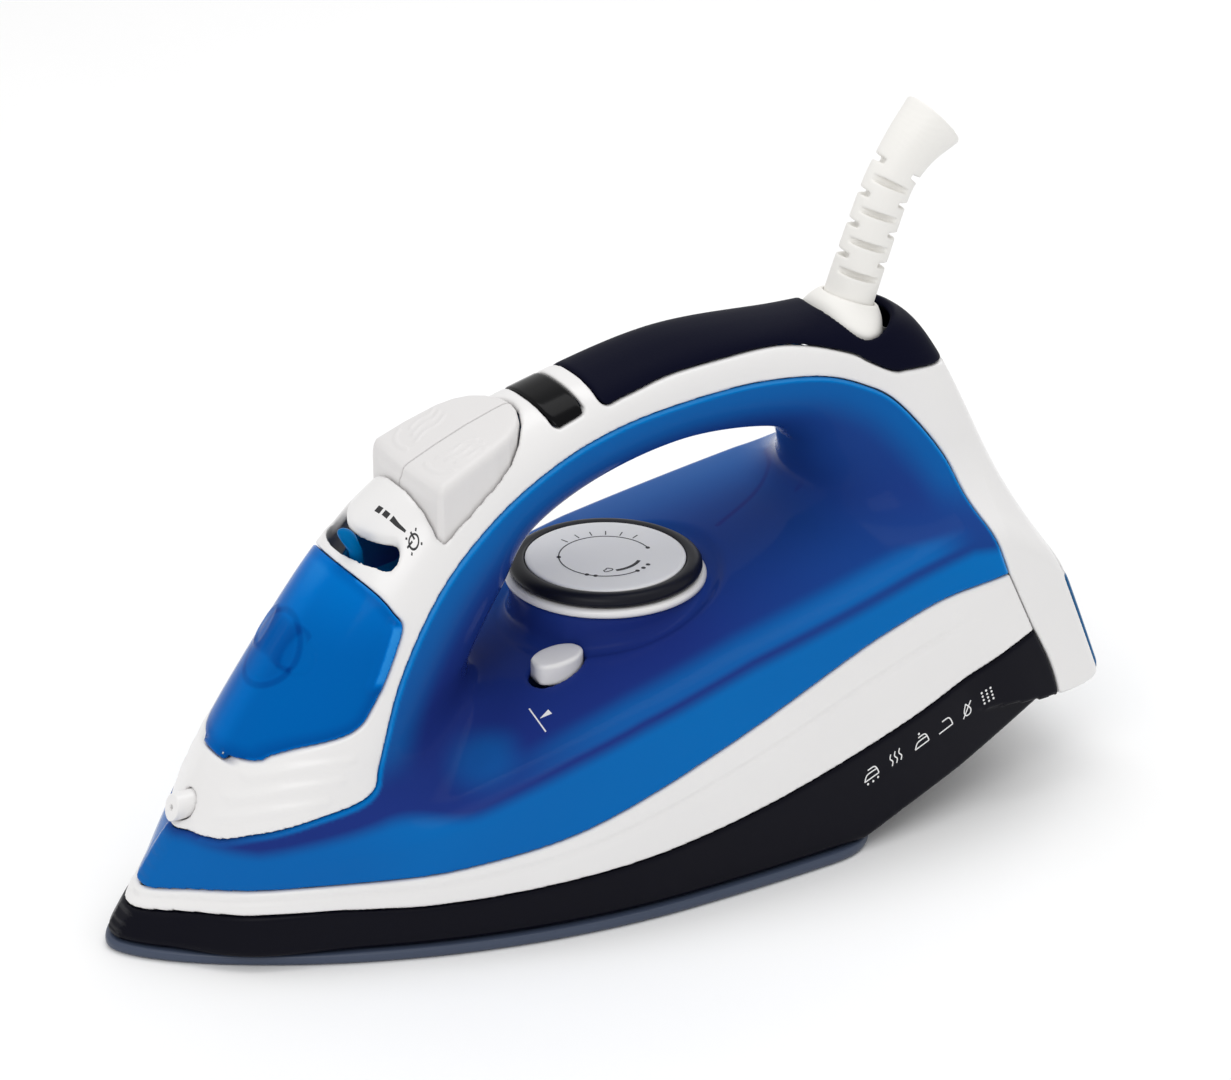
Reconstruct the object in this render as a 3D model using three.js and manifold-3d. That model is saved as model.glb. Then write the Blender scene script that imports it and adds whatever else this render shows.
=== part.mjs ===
// A steam iron: a boat-shaped body that carries a water tank, and a ring-shaped handle over it.
// Millimetres, +Z up. The nose points to -X, the heel to +X, and the soleplate's underside is Z = 0.
// The body is as wide as 2 * halfWidth(x, z), so every seam between its shells is drawn in the XZ plane.
import * as THREE from "three";
import { mergeVertices } from "three/addons/utils/BufferGeometryUtils.js";
import Module from "manifold-3d";

const wasm = await Module();
wasm.setup();

// ---- driving dimensions ----
const NOSE_X = -143.4;
const HEEL_X = 144.6;
const WIDE = 70; // a half width that clears the whole body
const BEAM = 58; // half width of the hull at its widest
const WALL = 2.4; // plastic wall
const GAP = 0.3; // between pieces that touch
const SEAM = 0.3; // width of the seam between two shells
const DECK_CROWN = 7; // how far the tank's deck rises at its middle
const SOLE_THICK = 3;
const HULL_BASE = 3.4; // the skirt starts just above the soleplate
const HEEL_REST_Z = 27; // the heel's lowest corner
const HEEL_SLOPE = 0.4; // the rear face leans forward by this much per mm of height
const HEEL_PLATE_TOP = 60;
const HEEL_PLATE_THICK = 3.2;
const BUTTON_GAP = 0.35;
const DIAL_X = 6.4;
const DIAL_TOP_Z = 77.7;
const CLEAN_X = -20.4;
const CLEAN_Y = -20.6;
const VALVE_X = -51; // the steam valve's stem, which the lever turns
const PUMP_X = -45;
const PUMP_Y = 8.6;
const GUARD_X = 79.5; // centre of the cord guard's ball
const GUARD_Z = 129;
const GUARD_LEAN = 20 * (Math.PI / 180);
const CHAMBER_TOP = 13;

// ---- materials ----
function material(color, roughness, metalness = 0) {
  return new THREE.MeshStandardMaterial({ color, roughness, metalness });
}
const WHITE = material(0xeceae6, 0.35);
const BLACK = material(0x15151c, 0.5);
const NAVY = material(0x181a2b, 0.7);
const TANK_BLUE = material(0x1560b8, 0.15);
const LID_BLUE = material(0x1c78cc, 0.15);
const HEEL_BLUE = material(0x05639a, 0.35);
const SOLE_BLUE = material(0x3c4b66, 0.4, 0.3);
const GLOSS_BLACK = material(0x050506, 0.08);
const SILVER = material(0xc9cbce, 0.3, 0.6);
const CREAM = material(0xe6e2da, 0.5);
const ALUMINIUM = material(0xa9abad, 0.5, 0.9);
const STEEL = material(0xb9bbbd, 0.3, 0.9);
const BRASS = material(0xb6934a, 0.35, 0.9);
const RUBBER = material(0x8d9094, 0.8);
const GREEN = material(0x2c6b3c, 0.6);
const CERAMIC = material(0xdcd6c8, 0.7);
const NYLON = material(0xd8d8d2, 0.5);

// ---- solids ----
function solidOf(geometry) {
  const bare = geometry.index ? geometry.toNonIndexed() : geometry.clone();
  for (const name of Object.keys(bare.attributes)) {
    if (name !== "position") bare.deleteAttribute(name);
  }
  const merged = mergeVertices(bare, 1e-4);
  return new wasm.Manifold(
    new wasm.Mesh({
      numProp: 3,
      vertProperties: merged.attributes.position.array,
      triVerts: new Uint32Array(merged.index.array),
    }),
  );
}

function geometryOf(solid) {
  const mesh = solid.getMesh();
  const geometry = new THREE.BufferGeometry();
  geometry.setAttribute("position", new THREE.BufferAttribute(mesh.vertProperties, 3));
  geometry.setIndex(new THREE.BufferAttribute(mesh.triVerts, 1));
  geometry.computeVertexNormals();
  return geometry;
}

const iron = new THREE.Group();

function addPiece(name, solid, look) {
  const mesh = new THREE.Mesh(geometryOf(solid), look);
  mesh.name = name;
  iron.add(mesh);
}

function join(...solids) {
  return solids.reduce((a, b) => a.add(b));
}

function cut(solid, ...tools) {
  return tools.reduce((a, b) => a.subtract(b), solid);
}

// A smooth open curve through hand-placed points, as [x, y] pairs.
function curve(points, stepsPerSpan = 2) {
  const spline = new THREE.SplineCurve(points.map(([x, y]) => new THREE.Vector2(x, y)));
  return spline.getPoints((points.length - 1) * stepsPerSpan).map((p) => [p.x, p.y]);
}

function shapeOf(points) {
  return new THREE.Shape(points.map(([x, y]) => new THREE.Vector2(x, y)));
}

// An outline in the XZ plane, extruded across the body from y0 to y1.
function sidePrism(points, y0 = -WIDE, y1 = WIDE) {
  const geometry = new THREE.ExtrudeGeometry(shapeOf(points), { depth: y1 - y0, bevelEnabled: false });
  geometry.rotateX(Math.PI / 2);
  geometry.translate(0, y1, 0);
  return solidOf(geometry);
}

// An outline in the XY plane, extruded upwards from z0 to z1.
function plate(points, z0, z1, holes = []) {
  const shape = shapeOf(points);
  for (const [x, y, r] of holes) {
    shape.holes.push(new THREE.Path(circle(x, y, r, 6).map(([hx, hy]) => new THREE.Vector2(hx, hy))));
  }
  const geometry = new THREE.ExtrudeGeometry(shape, { depth: z1 - z0, bevelEnabled: false });
  geometry.translate(0, 0, z0);
  return solidOf(geometry);
}

function circle(x, y, r, sides) {
  return Array.from({ length: sides }, (_, i) => {
    const angle = (2 * Math.PI * i) / sides;
    return [x + r * Math.cos(angle), y + r * Math.sin(angle)];
  });
}

function box(x, y, z, sx, sy, sz) {
  return solidOf(new THREE.BoxGeometry(sx, sy, sz).translate(x, y, z));
}

// A solid of revolution: profile is [radius, height] pairs that start and end on the axis.
function turned(profile, x, y, z, sides = 20, direction = new THREE.Vector3(0, 0, 1)) {
  const geometry = new THREE.LatheGeometry(profile.map(([r, h]) => new THREE.Vector2(r, h)), sides);
  const turn = new THREE.Quaternion().setFromUnitVectors(new THREE.Vector3(0, 1, 0), direction);
  geometry.applyQuaternion(turn);
  geometry.translate(x, y, z);
  return solidOf(geometry);
}

function rod(r, x, y, z0, z1, sides = 12) {
  return turned([[0, 0], [r, 0], [r, z1 - z0], [0, z1 - z0]], x, y, z0, sides);
}

// A round bar between two points.
function bar(r, from, to, sides = 12) {
  const a = new THREE.Vector3(...from);
  const b = new THREE.Vector3(...to);
  const length = a.distanceTo(b);
  const direction = b.clone().sub(a).normalize();
  return turned([[0, 0], [r, 0], [r, length], [0, length]], a.x, a.y, a.z, sides, direction);
}

function tube(points, r, sides = 8, steps = 24) {
  const path = new THREE.CatmullRomCurve3(points.map((p) => new THREE.Vector3(...p)));
  const geometry = new THREE.ExtrudeGeometry(shapeOf(circle(0, 0, r, sides)), {
    steps,
    extrudePath: path,
    bevelEnabled: false,
  });
  return solidOf(geometry);
}

// A closed skin over rings of the same number of points, with a fan on each end.
function loft(rings) {
  const count = rings[0].length;
  const positions = rings.flat(2);
  const indices = [];
  for (let i = 0; i + 1 < rings.length; i++) {
    for (let j = 0; j < count; j++) {
      const a = i * count + j;
      const b = i * count + ((j + 1) % count);
      indices.push(a, b, b + count, a, b + count, a + count);
    }
  }
  for (const [row, flip] of [[0, true], [rings.length - 1, false]]) {
    const centre = rings[row].reduce((s, p) => s.map((v, k) => v + p[k] / count), [0, 0, 0]);
    const middle = positions.length / 3;
    positions.push(...centre);
    for (let j = 0; j < count; j++) {
      const a = row * count + j;
      const b = row * count + ((j + 1) % count);
      indices.push(...(flip ? [middle, b, a] : [middle, a, b]));
    }
  }
  const geometry = new THREE.BufferGeometry();
  geometry.setAttribute("position", new THREE.Float32BufferAttribute(positions, 3));
  geometry.setIndex(indices);
  return solidOf(geometry);
}

// Straight-line interpolation between [x, y] pairs.
function between(points, x) {
  const last = points.length - 1;
  if (x <= points[0][0]) return points[0][1];
  for (let i = 1; i <= last; i++) {
    const [x0, y0] = points[i - 1];
    const [x1, y1] = points[i];
    if (x <= x1) return y0 + ((y1 - y0) * (x - x0)) / (x1 - x0);
  }
  return points[last][1];
}

// ---- the hull ----
const NOSE_LINE = [[0, -143.2], [5, -142.2], [9, -139.5], [40, -117], [60, -100], [120, -50]]; // z to x
const SHOULDER = [[-144, 20], [-128, 27], [-110, 27], [-80, 33], [-60, 39], [-32, 50], [-12, 57], [21, 66],
  [53, 72.5], [75, 77], [95, 80], [108, 78], [125, 66], [150, 50]]; // x to the z of the deck's edge
const HULL_LEVELS = [-4, 6, 14, 30, 52, 74, 96];
const NOSE_STEPS = 8;
const TAIL_STEPS = 4;

function noseX(z) {
  return between(NOSE_LINE, z);
}

function beamAt(z) {
  return BEAM - 5.5 * Math.max(z / 70, 0) ** 1.5;
}

function hullHalfWidthAft(x, z) {
  return beamAt(z) * (1 - 0.283 * Math.min(Math.max(x / HEEL_X, 0), 1.2) ** 2.2);
}

// Half width of the hull at its shoulder, close enough for the deck's crown.
function hullHalfWidth(x, z) {
  if (x >= 0) return hullHalfWidthAft(x, z);
  const u = Math.min(Math.max(1 - x / noseX(z), 0), 1);
  return beamAt(z) * Math.sin((Math.PI / 2) * u ** 0.62);
}

// One level of the hull, drawn from the nose back along +Y and forward again along -Y.
function hullOutline(z, inset) {
  const bow = noseX(z) + 1.3 * inset;
  const half = [];
  for (let i = 0; i <= NOSE_STEPS; i++) {
    const t = i / NOSE_STEPS;
    const along = 3 * (1 - t) * t * t * 0.444 + t ** 3;
    const across = 3 * (1 - t) ** 2 * t * 0.241 + 3 * (1 - t) * t * t + t ** 3;
    half.push([bow * (1 - along), (beamAt(z) - inset) * across]);
  }
  for (let i = 1; i <= TAIL_STEPS; i++) {
    const x = (i / TAIL_STEPS) * (HEEL_X + 10);
    half.push([x, hullHalfWidthAft(x, z) - inset]);
  }
  const back = half.slice(1).reverse().map(([x, y]) => [x, -y]);
  return [...half.slice().reverse(), ...back.reverse()].map(([x, y]) => [x, y, z]);
}

// Everything above the tank's crowned deck.
function aboveDeck(inset) {
  const rings = [];
  for (let x = NOSE_X - 6; x <= HEEL_X + 18; x += 18) {
    const edge = between(SHOULDER, x) - inset;
    const half = Math.max(hullHalfWidth(x, edge), 6);
    const ring = [];
    for (let k = -3; k <= 3; k++) {
      const y = (k / 3) * 1.12 * half;
      ring.push([x, y, edge + DECK_CROWN * (1 - (y / half) ** 2)]);
    }
    ring.push([x, WIDE, edge - 4], [x, WIDE, 190], [x, -WIDE, 190], [x, -WIDE, edge - 4]);
    rings.push(ring);
  }
  return loft(rings);
}

function hull(inset) {
  return cut(loft(HULL_LEVELS.map((z) => hullOutline(z, inset))), aboveDeck(inset));
}

// ---- the arch: front column, handle and rear column in one sweep ----
// Each station is [outer x, outer z, inner x, inner z, half width, roundness exponent].
const ARCH = [
  [-132, 5, -92, -34, 34, 1.8],
  [-124, 26, -80, -12, 33, 1.8],
  [-112.5, 49, -66, 15, 31, 1.8],
  [-95.5, 73, -51, 42, 28.5, 1.9],
  [-77, 96, -38, 67, 25.5, 2.0],
  [-60, 110.5, -30, 81, 23, 2.1],
  [-38, 123, -21.5, 94.6, 20, 2.2],
  [-10, 132, -1, 104.9, 17.5, 2.4],
  [25, 139.2, 26, 109.8, 16.5, 2.4],
  [62, 138, 52, 107.6, 17, 2.4],
  [92, 135.5, 62, 101.8, 19, 2.5],
  [107, 122.5, 67, 93, 23, 2.6],
  [118, 97, 76, 79, 30, 2.8],
  [131, 65, 84, 58, 38, 3.0],
  [146, 25, 98, 30, 44, 3.0],
];
const ARCH_SIDES = 16;
const ARCH_RINGS = 19;

function catmullRom(a, b, c, d, t) {
  return 0.5 * (2 * b + (c - a) * t + (2 * a - 5 * b + 4 * c - d) * t * t + (3 * b - a - 3 * c + d) * t ** 3);
}

function archStation(s) {
  const i = Math.min(Math.floor(s), ARCH.length - 2);
  const t = s - i;
  const row = (k) => ARCH[Math.min(Math.max(k, 0), ARCH.length - 1)];
  return ARCH[0].map((_, k) => catmullRom(row(i - 1)[k], row(i)[k], row(i + 1)[k], row(i + 2)[k], t));
}

function archRing(s, inset) {
  const [ox, oz, ix, iz, halfWidth, power] = archStation(s);
  const halfDepth = Math.hypot(ox - ix, oz - iz) / 2;
  const nx = (ox - ix) / (2 * halfDepth);
  const nz = (oz - iz) / (2 * halfDepth);
  const ring = [];
  for (let j = 0; j < ARCH_SIDES; j++) {
    const angle = (2 * Math.PI * (j + 0.5)) / ARCH_SIDES;
    const c = Math.cos(angle);
    const w = Math.sin(angle);
    const n = Math.sign(c) * Math.abs(c) ** (2 / power) * (halfDepth - inset);
    const y = Math.sign(w) * Math.abs(w) ** (2 / power) * (halfWidth - inset);
    ring.push([(ox + ix) / 2 + n * nx, -y, (oz + iz) / 2 + n * nz]);
  }
  return ring;
}

function arch(inset) {
  const last = ARCH.length - 1;
  return loft(Array.from({ length: ARCH_RINGS + 1 }, (_, i) => archRing((last * i) / ARCH_RINGS, inset)));
}

// ---- the body's side profile ----
const UNDERSIDE = [[56, HULL_BASE], [62, 5.5], [69, 8], [89, 14.5], [110, 22.5], [122, HEEL_REST_Z]];

function rearX(z, depth = 0) {
  return HEEL_X - depth - HEEL_SLOPE * (z - HEEL_REST_Z);
}

const OUTER_PROFILE = [
  [NOSE_X - 6, HULL_BASE],
  ...UNDERSIDE,
  [rearX(HEEL_REST_Z) - 2.5, HEEL_REST_Z],
  [rearX(HEEL_REST_Z + 3), HEEL_REST_Z + 3],
  [rearX(150), 150],
  [NOSE_X - 6, 150],
];
const REAR_STEP_Z = HEEL_PLATE_TOP + 1;
const INNER_PROFILE = [
  [NOSE_X - 10, -2],
  [55, -2],
  ...UNDERSIDE.map(([x, z]) => [x + 0.6, z + WALL]),
  [rearX(HEEL_REST_Z + WALL, HEEL_PLATE_THICK + SEAM), HEEL_REST_Z + WALL],
  [rearX(REAR_STEP_Z, HEEL_PLATE_THICK + SEAM), REAR_STEP_Z],
  [rearX(REAR_STEP_Z + 1, WALL), REAR_STEP_Z + 1],
  [rearX(150, WALL), 150],
  [NOSE_X - 10, 150],
];

// ---- seams, each an XZ curve drawn towards +X ----
const SKIRT_SEAM = curve([[-152, 9], [-134, 11.7], [-117, 14], [-98, 14.6], [-72, 13.6], [-33, 15.5],
  [-4, 18.3], [27, 23.5], [68, 33.5], [89, 40], [115, 49]]);
const BAND_SEAM = curve([[-152, 13], [-132, 16.5], [-116, 20], [-98, 21.3], [-76, 21.4], [-59, 23.2],
  [-32, 28.3], [-3, 38], [20, 46], [51, 57.5], [68, 62.5], [86, 66], [107, 67.2]]);
const FRAME_SEAM = curve([[-152, 30], [-122, 30.5], [-110, 34], [-96, 38], [-84, 41], [-79, 44], [-77, 50],
  [-69, 71], [-55, 92], [-37, 107], [-17, 117], [2, 122.5], [21, 125], [43, 126], [63, 124], [76, 119.5],
  [86, 113], [97, 98], [101, 85], [107, 67.2]]);
const HEEL_SEAM = curve([[107, 67.2], [111, 58], [115, 49]]);
const HEEL_SEAM_LOWER = curve([[115, 49], [120, 39], [123, 30], [124.5, 20]]);
const GRIP_SEAM = curve([[-5, 145], [-3.7, 134], [-1.8, 128.6], [5, 129.8], [21, 133], [46, 134],
  [60, 132.5], [73, 128.5], [79, 125], [86, 121.5], [93, 121], [130, 117.5]]);
const COVER_SEAM = [[rearX(REAR_STEP_Z, 2.8), REAR_STEP_Z], [rearX(150, 2.8), 150]];
const WINDOW_OUTLINE = [[-28, 150], [-20.6, 134], [-18.1, 128.8], [-16.9, 125.5], [-15.6, 125], [-8.2, 127.3],
  [-7.4, 128.6], [-8.8, 132.5], [-13, 150]];
const LID_PIVOT = [-110.2, 50.9];
const LID_OUTLINE = [
  ...curve([[-125, 49.6], [-107, 50.9], [-101.5, 53.4], [-96, 55.6], [-85.6, 58.4], [-81, 60.7], [-77.6, 64.6],
    [-74, 70.2], [-69.4, 79], [-67, 84.5], [-68, 87], [-72, 93], [-84, 104]], 2),
  [-125, 104],
];

// A curve moved sideways, towards its left as it is drawn.
function shifted(points, distance, closed = false) {
  const count = points.length;
  return points.map(([x, z], i) => {
    const before = closed ? points[(i + count - 1) % count] : points[Math.max(i - 1, 0)];
    const after = closed ? points[(i + 1) % count] : points[Math.min(i + 1, count - 1)];
    const length = Math.hypot(after[0] - before[0], after[1] - before[1]);
    const left = distance / length;
    return [x - (after[1] - before[1]) * left, z + (after[0] - before[0]) * left];
  });
}

const HALF_SEAM = SEAM / 2;
const FRAME_EDGE = shifted([...FRAME_SEAM, ...HEEL_SEAM.slice(1), ...HEEL_SEAM_LOWER.slice(1)], HALF_SEAM);
const FRAME_REGION = [...FRAME_EDGE, [200, 20], [200, 200], [-152, 200]];
const TANK_REGION = [...shifted(FRAME_SEAM, -HALF_SEAM), ...shifted(BAND_SEAM, HALF_SEAM).reverse().slice(1)];
const BAND_REGION = [
  ...shifted(BAND_SEAM, -HALF_SEAM),
  ...shifted(HEEL_SEAM, -HALF_SEAM).slice(1, -1),
  ...shifted(SKIRT_SEAM, HALF_SEAM).reverse(),
];
const SKIRT_REGION = [
  ...shifted(SKIRT_SEAM, -HALF_SEAM),
  ...shifted(HEEL_SEAM_LOWER, -HALF_SEAM).slice(1),
  [124, -20],
  [-152, -20],
];
const gripRegion = (gap) => [...shifted(GRIP_SEAM, gap), [130, 200], [-5, 200]];
const coverRegion = (gap) => [...shifted(COVER_SEAM, gap), [200, 150], [200, REAR_STEP_Z]];

// ---- hull and arch together, then hollowed ----
function body(inset) {
  return join(hull(inset), arch(inset));
}

const outerBody = body(0).intersect(sidePrism(OUTER_PROFILE));
const shell = cut(outerBody, body(WALL).intersect(sidePrism(INNER_PROFILE)));
const room = body(WALL + GAP).intersect(sidePrism(INNER_PROFILE)); // what an inner wall may fill

function shellPiece(region) {
  return shell.intersect(sidePrism(region));
}

// ---- the buttons' outline ----
const BUTTON_HALF = [[-55.3, 0], [-55, 8], [-53.6, 18.2], [-52.4, 19.4], [-44.3, 18.5], [-35.7, 17.1],
  [-31, 15.6], [-27.4, 13], [-24.4, 9], [-22.4, 4], [-21.9, 0]];
const BUTTON_SIDE = [[-60, 99], [-60, 115.5], [-55, 115.5], [-54.2, 117.2], [-52.4, 118.2], [-44.3, 121.8],
  [-35.7, 125.2], [-27, 128], [-21, 129.6], [-21, 121], [-38, 105.4], [-52, 105.4]];

function buttonOutline(side, gap) {
  const grown = shifted(BUTTON_HALF, gap);
  const inner = side > 0 ? 1 : -1;
  const points = [[grown[0][0], 0], ...grown.slice(1, -1), [grown.at(-1)[0], 0]];
  const outline = points.map(([x, y]) => [x, inner * Math.max(y, 0)]);
  return inner > 0 ? outline.reverse() : outline;
}

function buttonSolid(side) {
  const block = plate(buttonOutline(side, 0), 90, 140).intersect(sidePrism(BUTTON_SIDE));
  return cut(block, box(-40, 0, 115, 60, GAP, 70));
}

function buttonWell() {
  return join(plate(buttonOutline(1, BUTTON_GAP), 94, 150), plate(buttonOutline(-1, BUTTON_GAP), 94, 150));
}

// ---- the steam lever swings about the valve stem ----
const LEVER_REST = 15 * (Math.PI / 180); // how far it stands towards -Y in the rest pose
const LEVER_R = 20.2;

function sector(r0, r1, from, to, steps = 6) {
  const arc = (r, a, b) => Array.from({ length: steps + 1 }, (_, i) => {
    const angle = a + ((b - a) * i) / steps;
    return [VALVE_X - r * Math.cos(angle), r * Math.sin(angle)];
  });
  return [...arc(r1, from, to), ...arc(r0, to, from)].reverse();
}

function leverSlot() {
  const reach = 44 * (Math.PI / 180);
  const ends = [-reach, reach].map((a) => {
    const [x, y] = [VALVE_X - LEVER_R * Math.cos(a), LEVER_R * Math.sin(a)];
    return rod(2.6, x, y, 88, 115, 12);
  });
  return join(plate(sector(LEVER_R - 2.6, LEVER_R + 2.6, -reach, reach), 88, 115), ...ends);
}

function steamLever() {
  const spread = 30 * (Math.PI / 180);
  const x = VALVE_X - LEVER_R * Math.cos(LEVER_REST);
  const y = -LEVER_R * Math.sin(LEVER_REST);
  return join(
    plate(sector(LEVER_R - 5, LEVER_R - 0.4, -LEVER_REST - spread, -LEVER_REST + spread), 89, 90.6),
    plate(sector(2, LEVER_R - 3, -LEVER_REST - 0.16, -LEVER_REST + 0.16, 2), 89, 90.6),
    rod(4.6, VALVE_X, 0, 87, 91),
    bar(1.8, [x + 1, y, 89.5], [x - 1.4, y - 0.4, 106.4]),
  );
}

// ---- shells ----
function dialSeat(tank) {
  const seat = cut(rod(27.6, DIAL_X, 0, 60, 71.5, 24), rod(25.2, DIAL_X, 0, 55, 69.1, 24));
  const opened = cut(tank, rod(25.2, DIAL_X, 0, 50, 95, 24));
  return cut(join(opened, seat), rod(28.2, DIAL_X, 0, 71.5, 95, 24), rod(3.6, DIAL_X, 0, 60, 95, 8));
}

const CLEAN_OUTLINE = [[7.6, 0], [6.2, 3.4], [2.4, 5.2], [-2.6, 5], [-6.2, 2.8], [-7.3, -0.6], [-5.6, -3.8],
  [-1.4, -5.2], [3.2, -4.8], [6.4, -2.8]];

function cleanOutline(gap) {
  return shifted(CLEAN_OUTLINE, -gap, true).map(([x, y]) => [CLEAN_X + x, CLEAN_Y + y]);
}

function waterTank() {
  const stemPassage = rod(2.4, VALVE_X, 0, 38, 60, 8);
  return cut(dialSeat(shellPiece(TANK_REGION)), plate(cleanOutline(0.35), 50, 70), stemPassage);
}

function lidChannel(r, halfLength) {
  return bar(r, [LID_PIVOT[0], -halfLength, LID_PIVOT[1]], [LID_PIVOT[0], halfLength, LID_PIVOT[1]]);
}

function upperFrame() {
  return cut(
    shellPiece(FRAME_REGION),
    sidePrism(gripRegion(-HALF_SEAM)),
    sidePrism(shifted(WINDOW_OUTLINE, -HALF_SEAM, true)),
    sidePrism(shifted(LID_OUTLINE, -HALF_SEAM, true)),
    sidePrism(coverRegion(HALF_SEAM)),
    sidePrism([[rearX(0, HEEL_PLATE_THICK + HALF_SEAM), 0], [200, 0], [200, HEEL_PLATE_TOP + HALF_SEAM],
      [rearX(HEEL_PLATE_TOP, HEEL_PLATE_THICK + HALF_SEAM), HEEL_PLATE_TOP + HALF_SEAM]]),
    buttonWell(),
    leverSlot(),
    lidChannel(2.1, 11),
    nozzleBore(),
  );
}

const GUARD_AXIS = new THREE.Vector3(Math.sin(GUARD_LEAN), 0, Math.cos(GUARD_LEAN));

function guardPoint(h) {
  return [GUARD_X + h * GUARD_AXIS.x, 0, GUARD_Z + h * GUARD_AXIS.z];
}

// Rings across the guard's axis: each row is [height along the axis, half length in X, half width in Y].
function guardLoft(rows, sides) {
  return loft(rows.map(([h, a, b]) => circle(0, 0, 1, sides).map(([c, s]) => {
    const [x, , z] = guardPoint(h);
    return [x + a * c * GUARD_AXIS.z, b * s, z - a * c * GUARD_AXIS.x];
  })));
}

function handleGrip() {
  return cut(shellPiece(gripRegion(HALF_SEAM)), guardLoft([[-9, 10.6, 14.6], [20, 10.6, 14.6]], 20));
}

function guardSocket() {
  const rows = [[-6, 9.6, 13.4], [0, 10, 14], [2.8, 10.2, 14.1], [5, 10.1, 12.6], [7, 9.7, 10.6],
    [9.5, 8.2, 8.2]];
  const solid = guardLoft(rows, 16).intersect(join(room, aboveHandle()));
  return cut(solid, guardLoft([[-12, 7.4, 7.4], [14, 7.4, 7.4]], 12));
}

// The space over the grip, and the grip's own thickness, where the socket shows.
function aboveHandle() {
  return box(GUARD_X, 0, 150, 60, 60, 50);
}

function indicatorWindow() {
  return shellPiece(WINDOW_OUTLINE);
}

function fillerLid() {
  const skin = shellPiece(LID_OUTLINE);
  const knuckle = join(lidChannel(1.6, 6), box(LID_PIVOT[0] + 2, 0, LID_PIVOT[1] + 1.2, 3, 12, 2));
  return cut(join(skin, knuckle), lidChannel(1.05, 12));
}

function rearCover() {
  const panel = cut(shellPiece(coverRegion(0)), sidePrism(gripRegion(-HALF_SEAM)));
  const tongue = body(WALL + GAP).intersect(sidePrism([
    [rearX(34, 6.2), 34],
    [rearX(34, 3.8), 34],
    [rearX(75, 3.8), 75],
    [rearX(78, 2), 78],
    [rearX(84, 2), 84],
    [rearX(84, 6.2), 84],
  ]));
  return join(panel, tongue);
}

function heelPlate() {
  return outerBody.intersect(sidePrism([[rearX(0, HEEL_PLATE_THICK), 0], [200, 0], [200, HEEL_PLATE_TOP],
    [rearX(HEEL_PLATE_TOP, HEEL_PLATE_THICK), HEEL_PLATE_TOP]]));
}

// ---- the spray nozzle, level, on the nose of the frame ----
const NOZZLE = [-116.5, 0, 36];

function nozzleBore() {
  return bar(3.9, [NOZZLE[0] - 12, 0, NOZZLE[2]], [NOZZLE[0] + 12, 0, NOZZLE[2]], 16);
}

function sprayNozzle() {
  const tip = bar(3.6, [NOZZLE[0] - 6.4, 0, NOZZLE[2]], [NOZZLE[0] + 10, 0, NOZZLE[2]], 16);
  const slant = sidePrism([[-135, 28], [-126, 28], [-120.5, 46], [-135, 46]]);
  return cut(tip, slant, bar(0.8, [-140, 0, NOZZLE[2]], [-100, 0, NOZZLE[2]], 6));
}

// ---- soleplate and heater ----
function soleOutline(inset) {
  const tail = 68 - inset;
  const half = [];
  const steps = 10;
  for (let i = 0; i < steps; i++) {
    const t = i / steps;
    const along = 3 * (1 - t) * t * t * 0.444 + t ** 3;
    const across = 3 * (1 - t) ** 2 * t * 0.241 + 3 * (1 - t) * t * t + t ** 3;
    half.push([(NOSE_X + 1.5 * inset) * (1 - along), (BEAM + 1.4 - inset) * across]);
  }
  for (let i = 0; i <= 8; i++) {
    const u = Math.sin((Math.PI / 2) * (i / 8));
    const corner = (1 - Math.max((u * tail - tail + 26) / 26, 0) ** 3.2) ** (1 / 3.2);
    half.push([u * tail, (hullHalfWidthAft(u * tail, 2) + 1.4 - inset) * Math.max(corner, 0)]);
  }
  const mirrored = half.slice(1, -1).reverse().map(([x, y]) => [x, -y]);
  return [...half, ...mirrored].reverse();
}

function steamHoles() {
  const holes = [];
  for (let i = 0; i < 5; i++) {
    const x = -114 + i * 21;
    const spread = 5 + i * 6;
    holes.push([x, spread, 1.8], [x, -spread, 1.8]);
  }
  for (let i = 0; i < 2; i++) holes.push([-126 + i * 30, 0, 1.8]);
  return holes;
}

const CHAMBER_SCREWS = [[-82, 0], [-12, 18], [-12, -18]];
const BURST_X = -30;
const BURST_Y = 17;

function chamberOutline(inset) {
  const half = [[-98 + 2 * inset, 0], [-88 + inset, 10 - inset], [-66, 21 - inset], [-40, 27 - inset],
    [-3 - inset, 28 - inset]];
  const mirrored = half.slice(1).reverse().map(([x, y]) => [x, -y]);
  return [...half, ...mirrored].reverse();
}

function elementPath(side) {
  return [[56, side * 16, 30], [55, side * 16, 21], [49, side * 20, 13.5], [36, side * 32, 12],
    [0, side * 41, 12], [-50, side * 35, 12], [-90, side * 20, 12]];
}

const ELEMENT_NOSE = [-110, 0, 12];

function heatingElement() {
  return tube([...elementPath(1), ELEMENT_NOSE, ...elementPath(-1).reverse()], 3, 6, 28);
}

function heaterCasting() {
  const groove = tube([...elementPath(1), ELEMENT_NOSE, ...elementPath(-1).reverse()], 3.5, 6, 28);
  const ahead = sidePrism([[-160, -10], [52, -10], [52, 40], [-160, 40]]);
  const block = cut(plate(soleOutline(7), SOLE_THICK + GAP, 10).intersect(ahead), groove);
  const wall = cut(plate(chamberOutline(0), 9, CHAMBER_TOP), plate(chamberOutline(3), 7.5, 30));
  const bosses = CHAMBER_SCREWS.map(([x, y]) => rod(3.6, x, y, 7, CHAMBER_TOP, 8));
  const bores = CHAMBER_SCREWS.map(([x, y]) => rod(1.7, x, y, 5.5, 30, 6));
  return cut(join(block, wall, rod(9, DIAL_X, 0, 9, 12, 12), ...bosses), ...bores);
}

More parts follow.
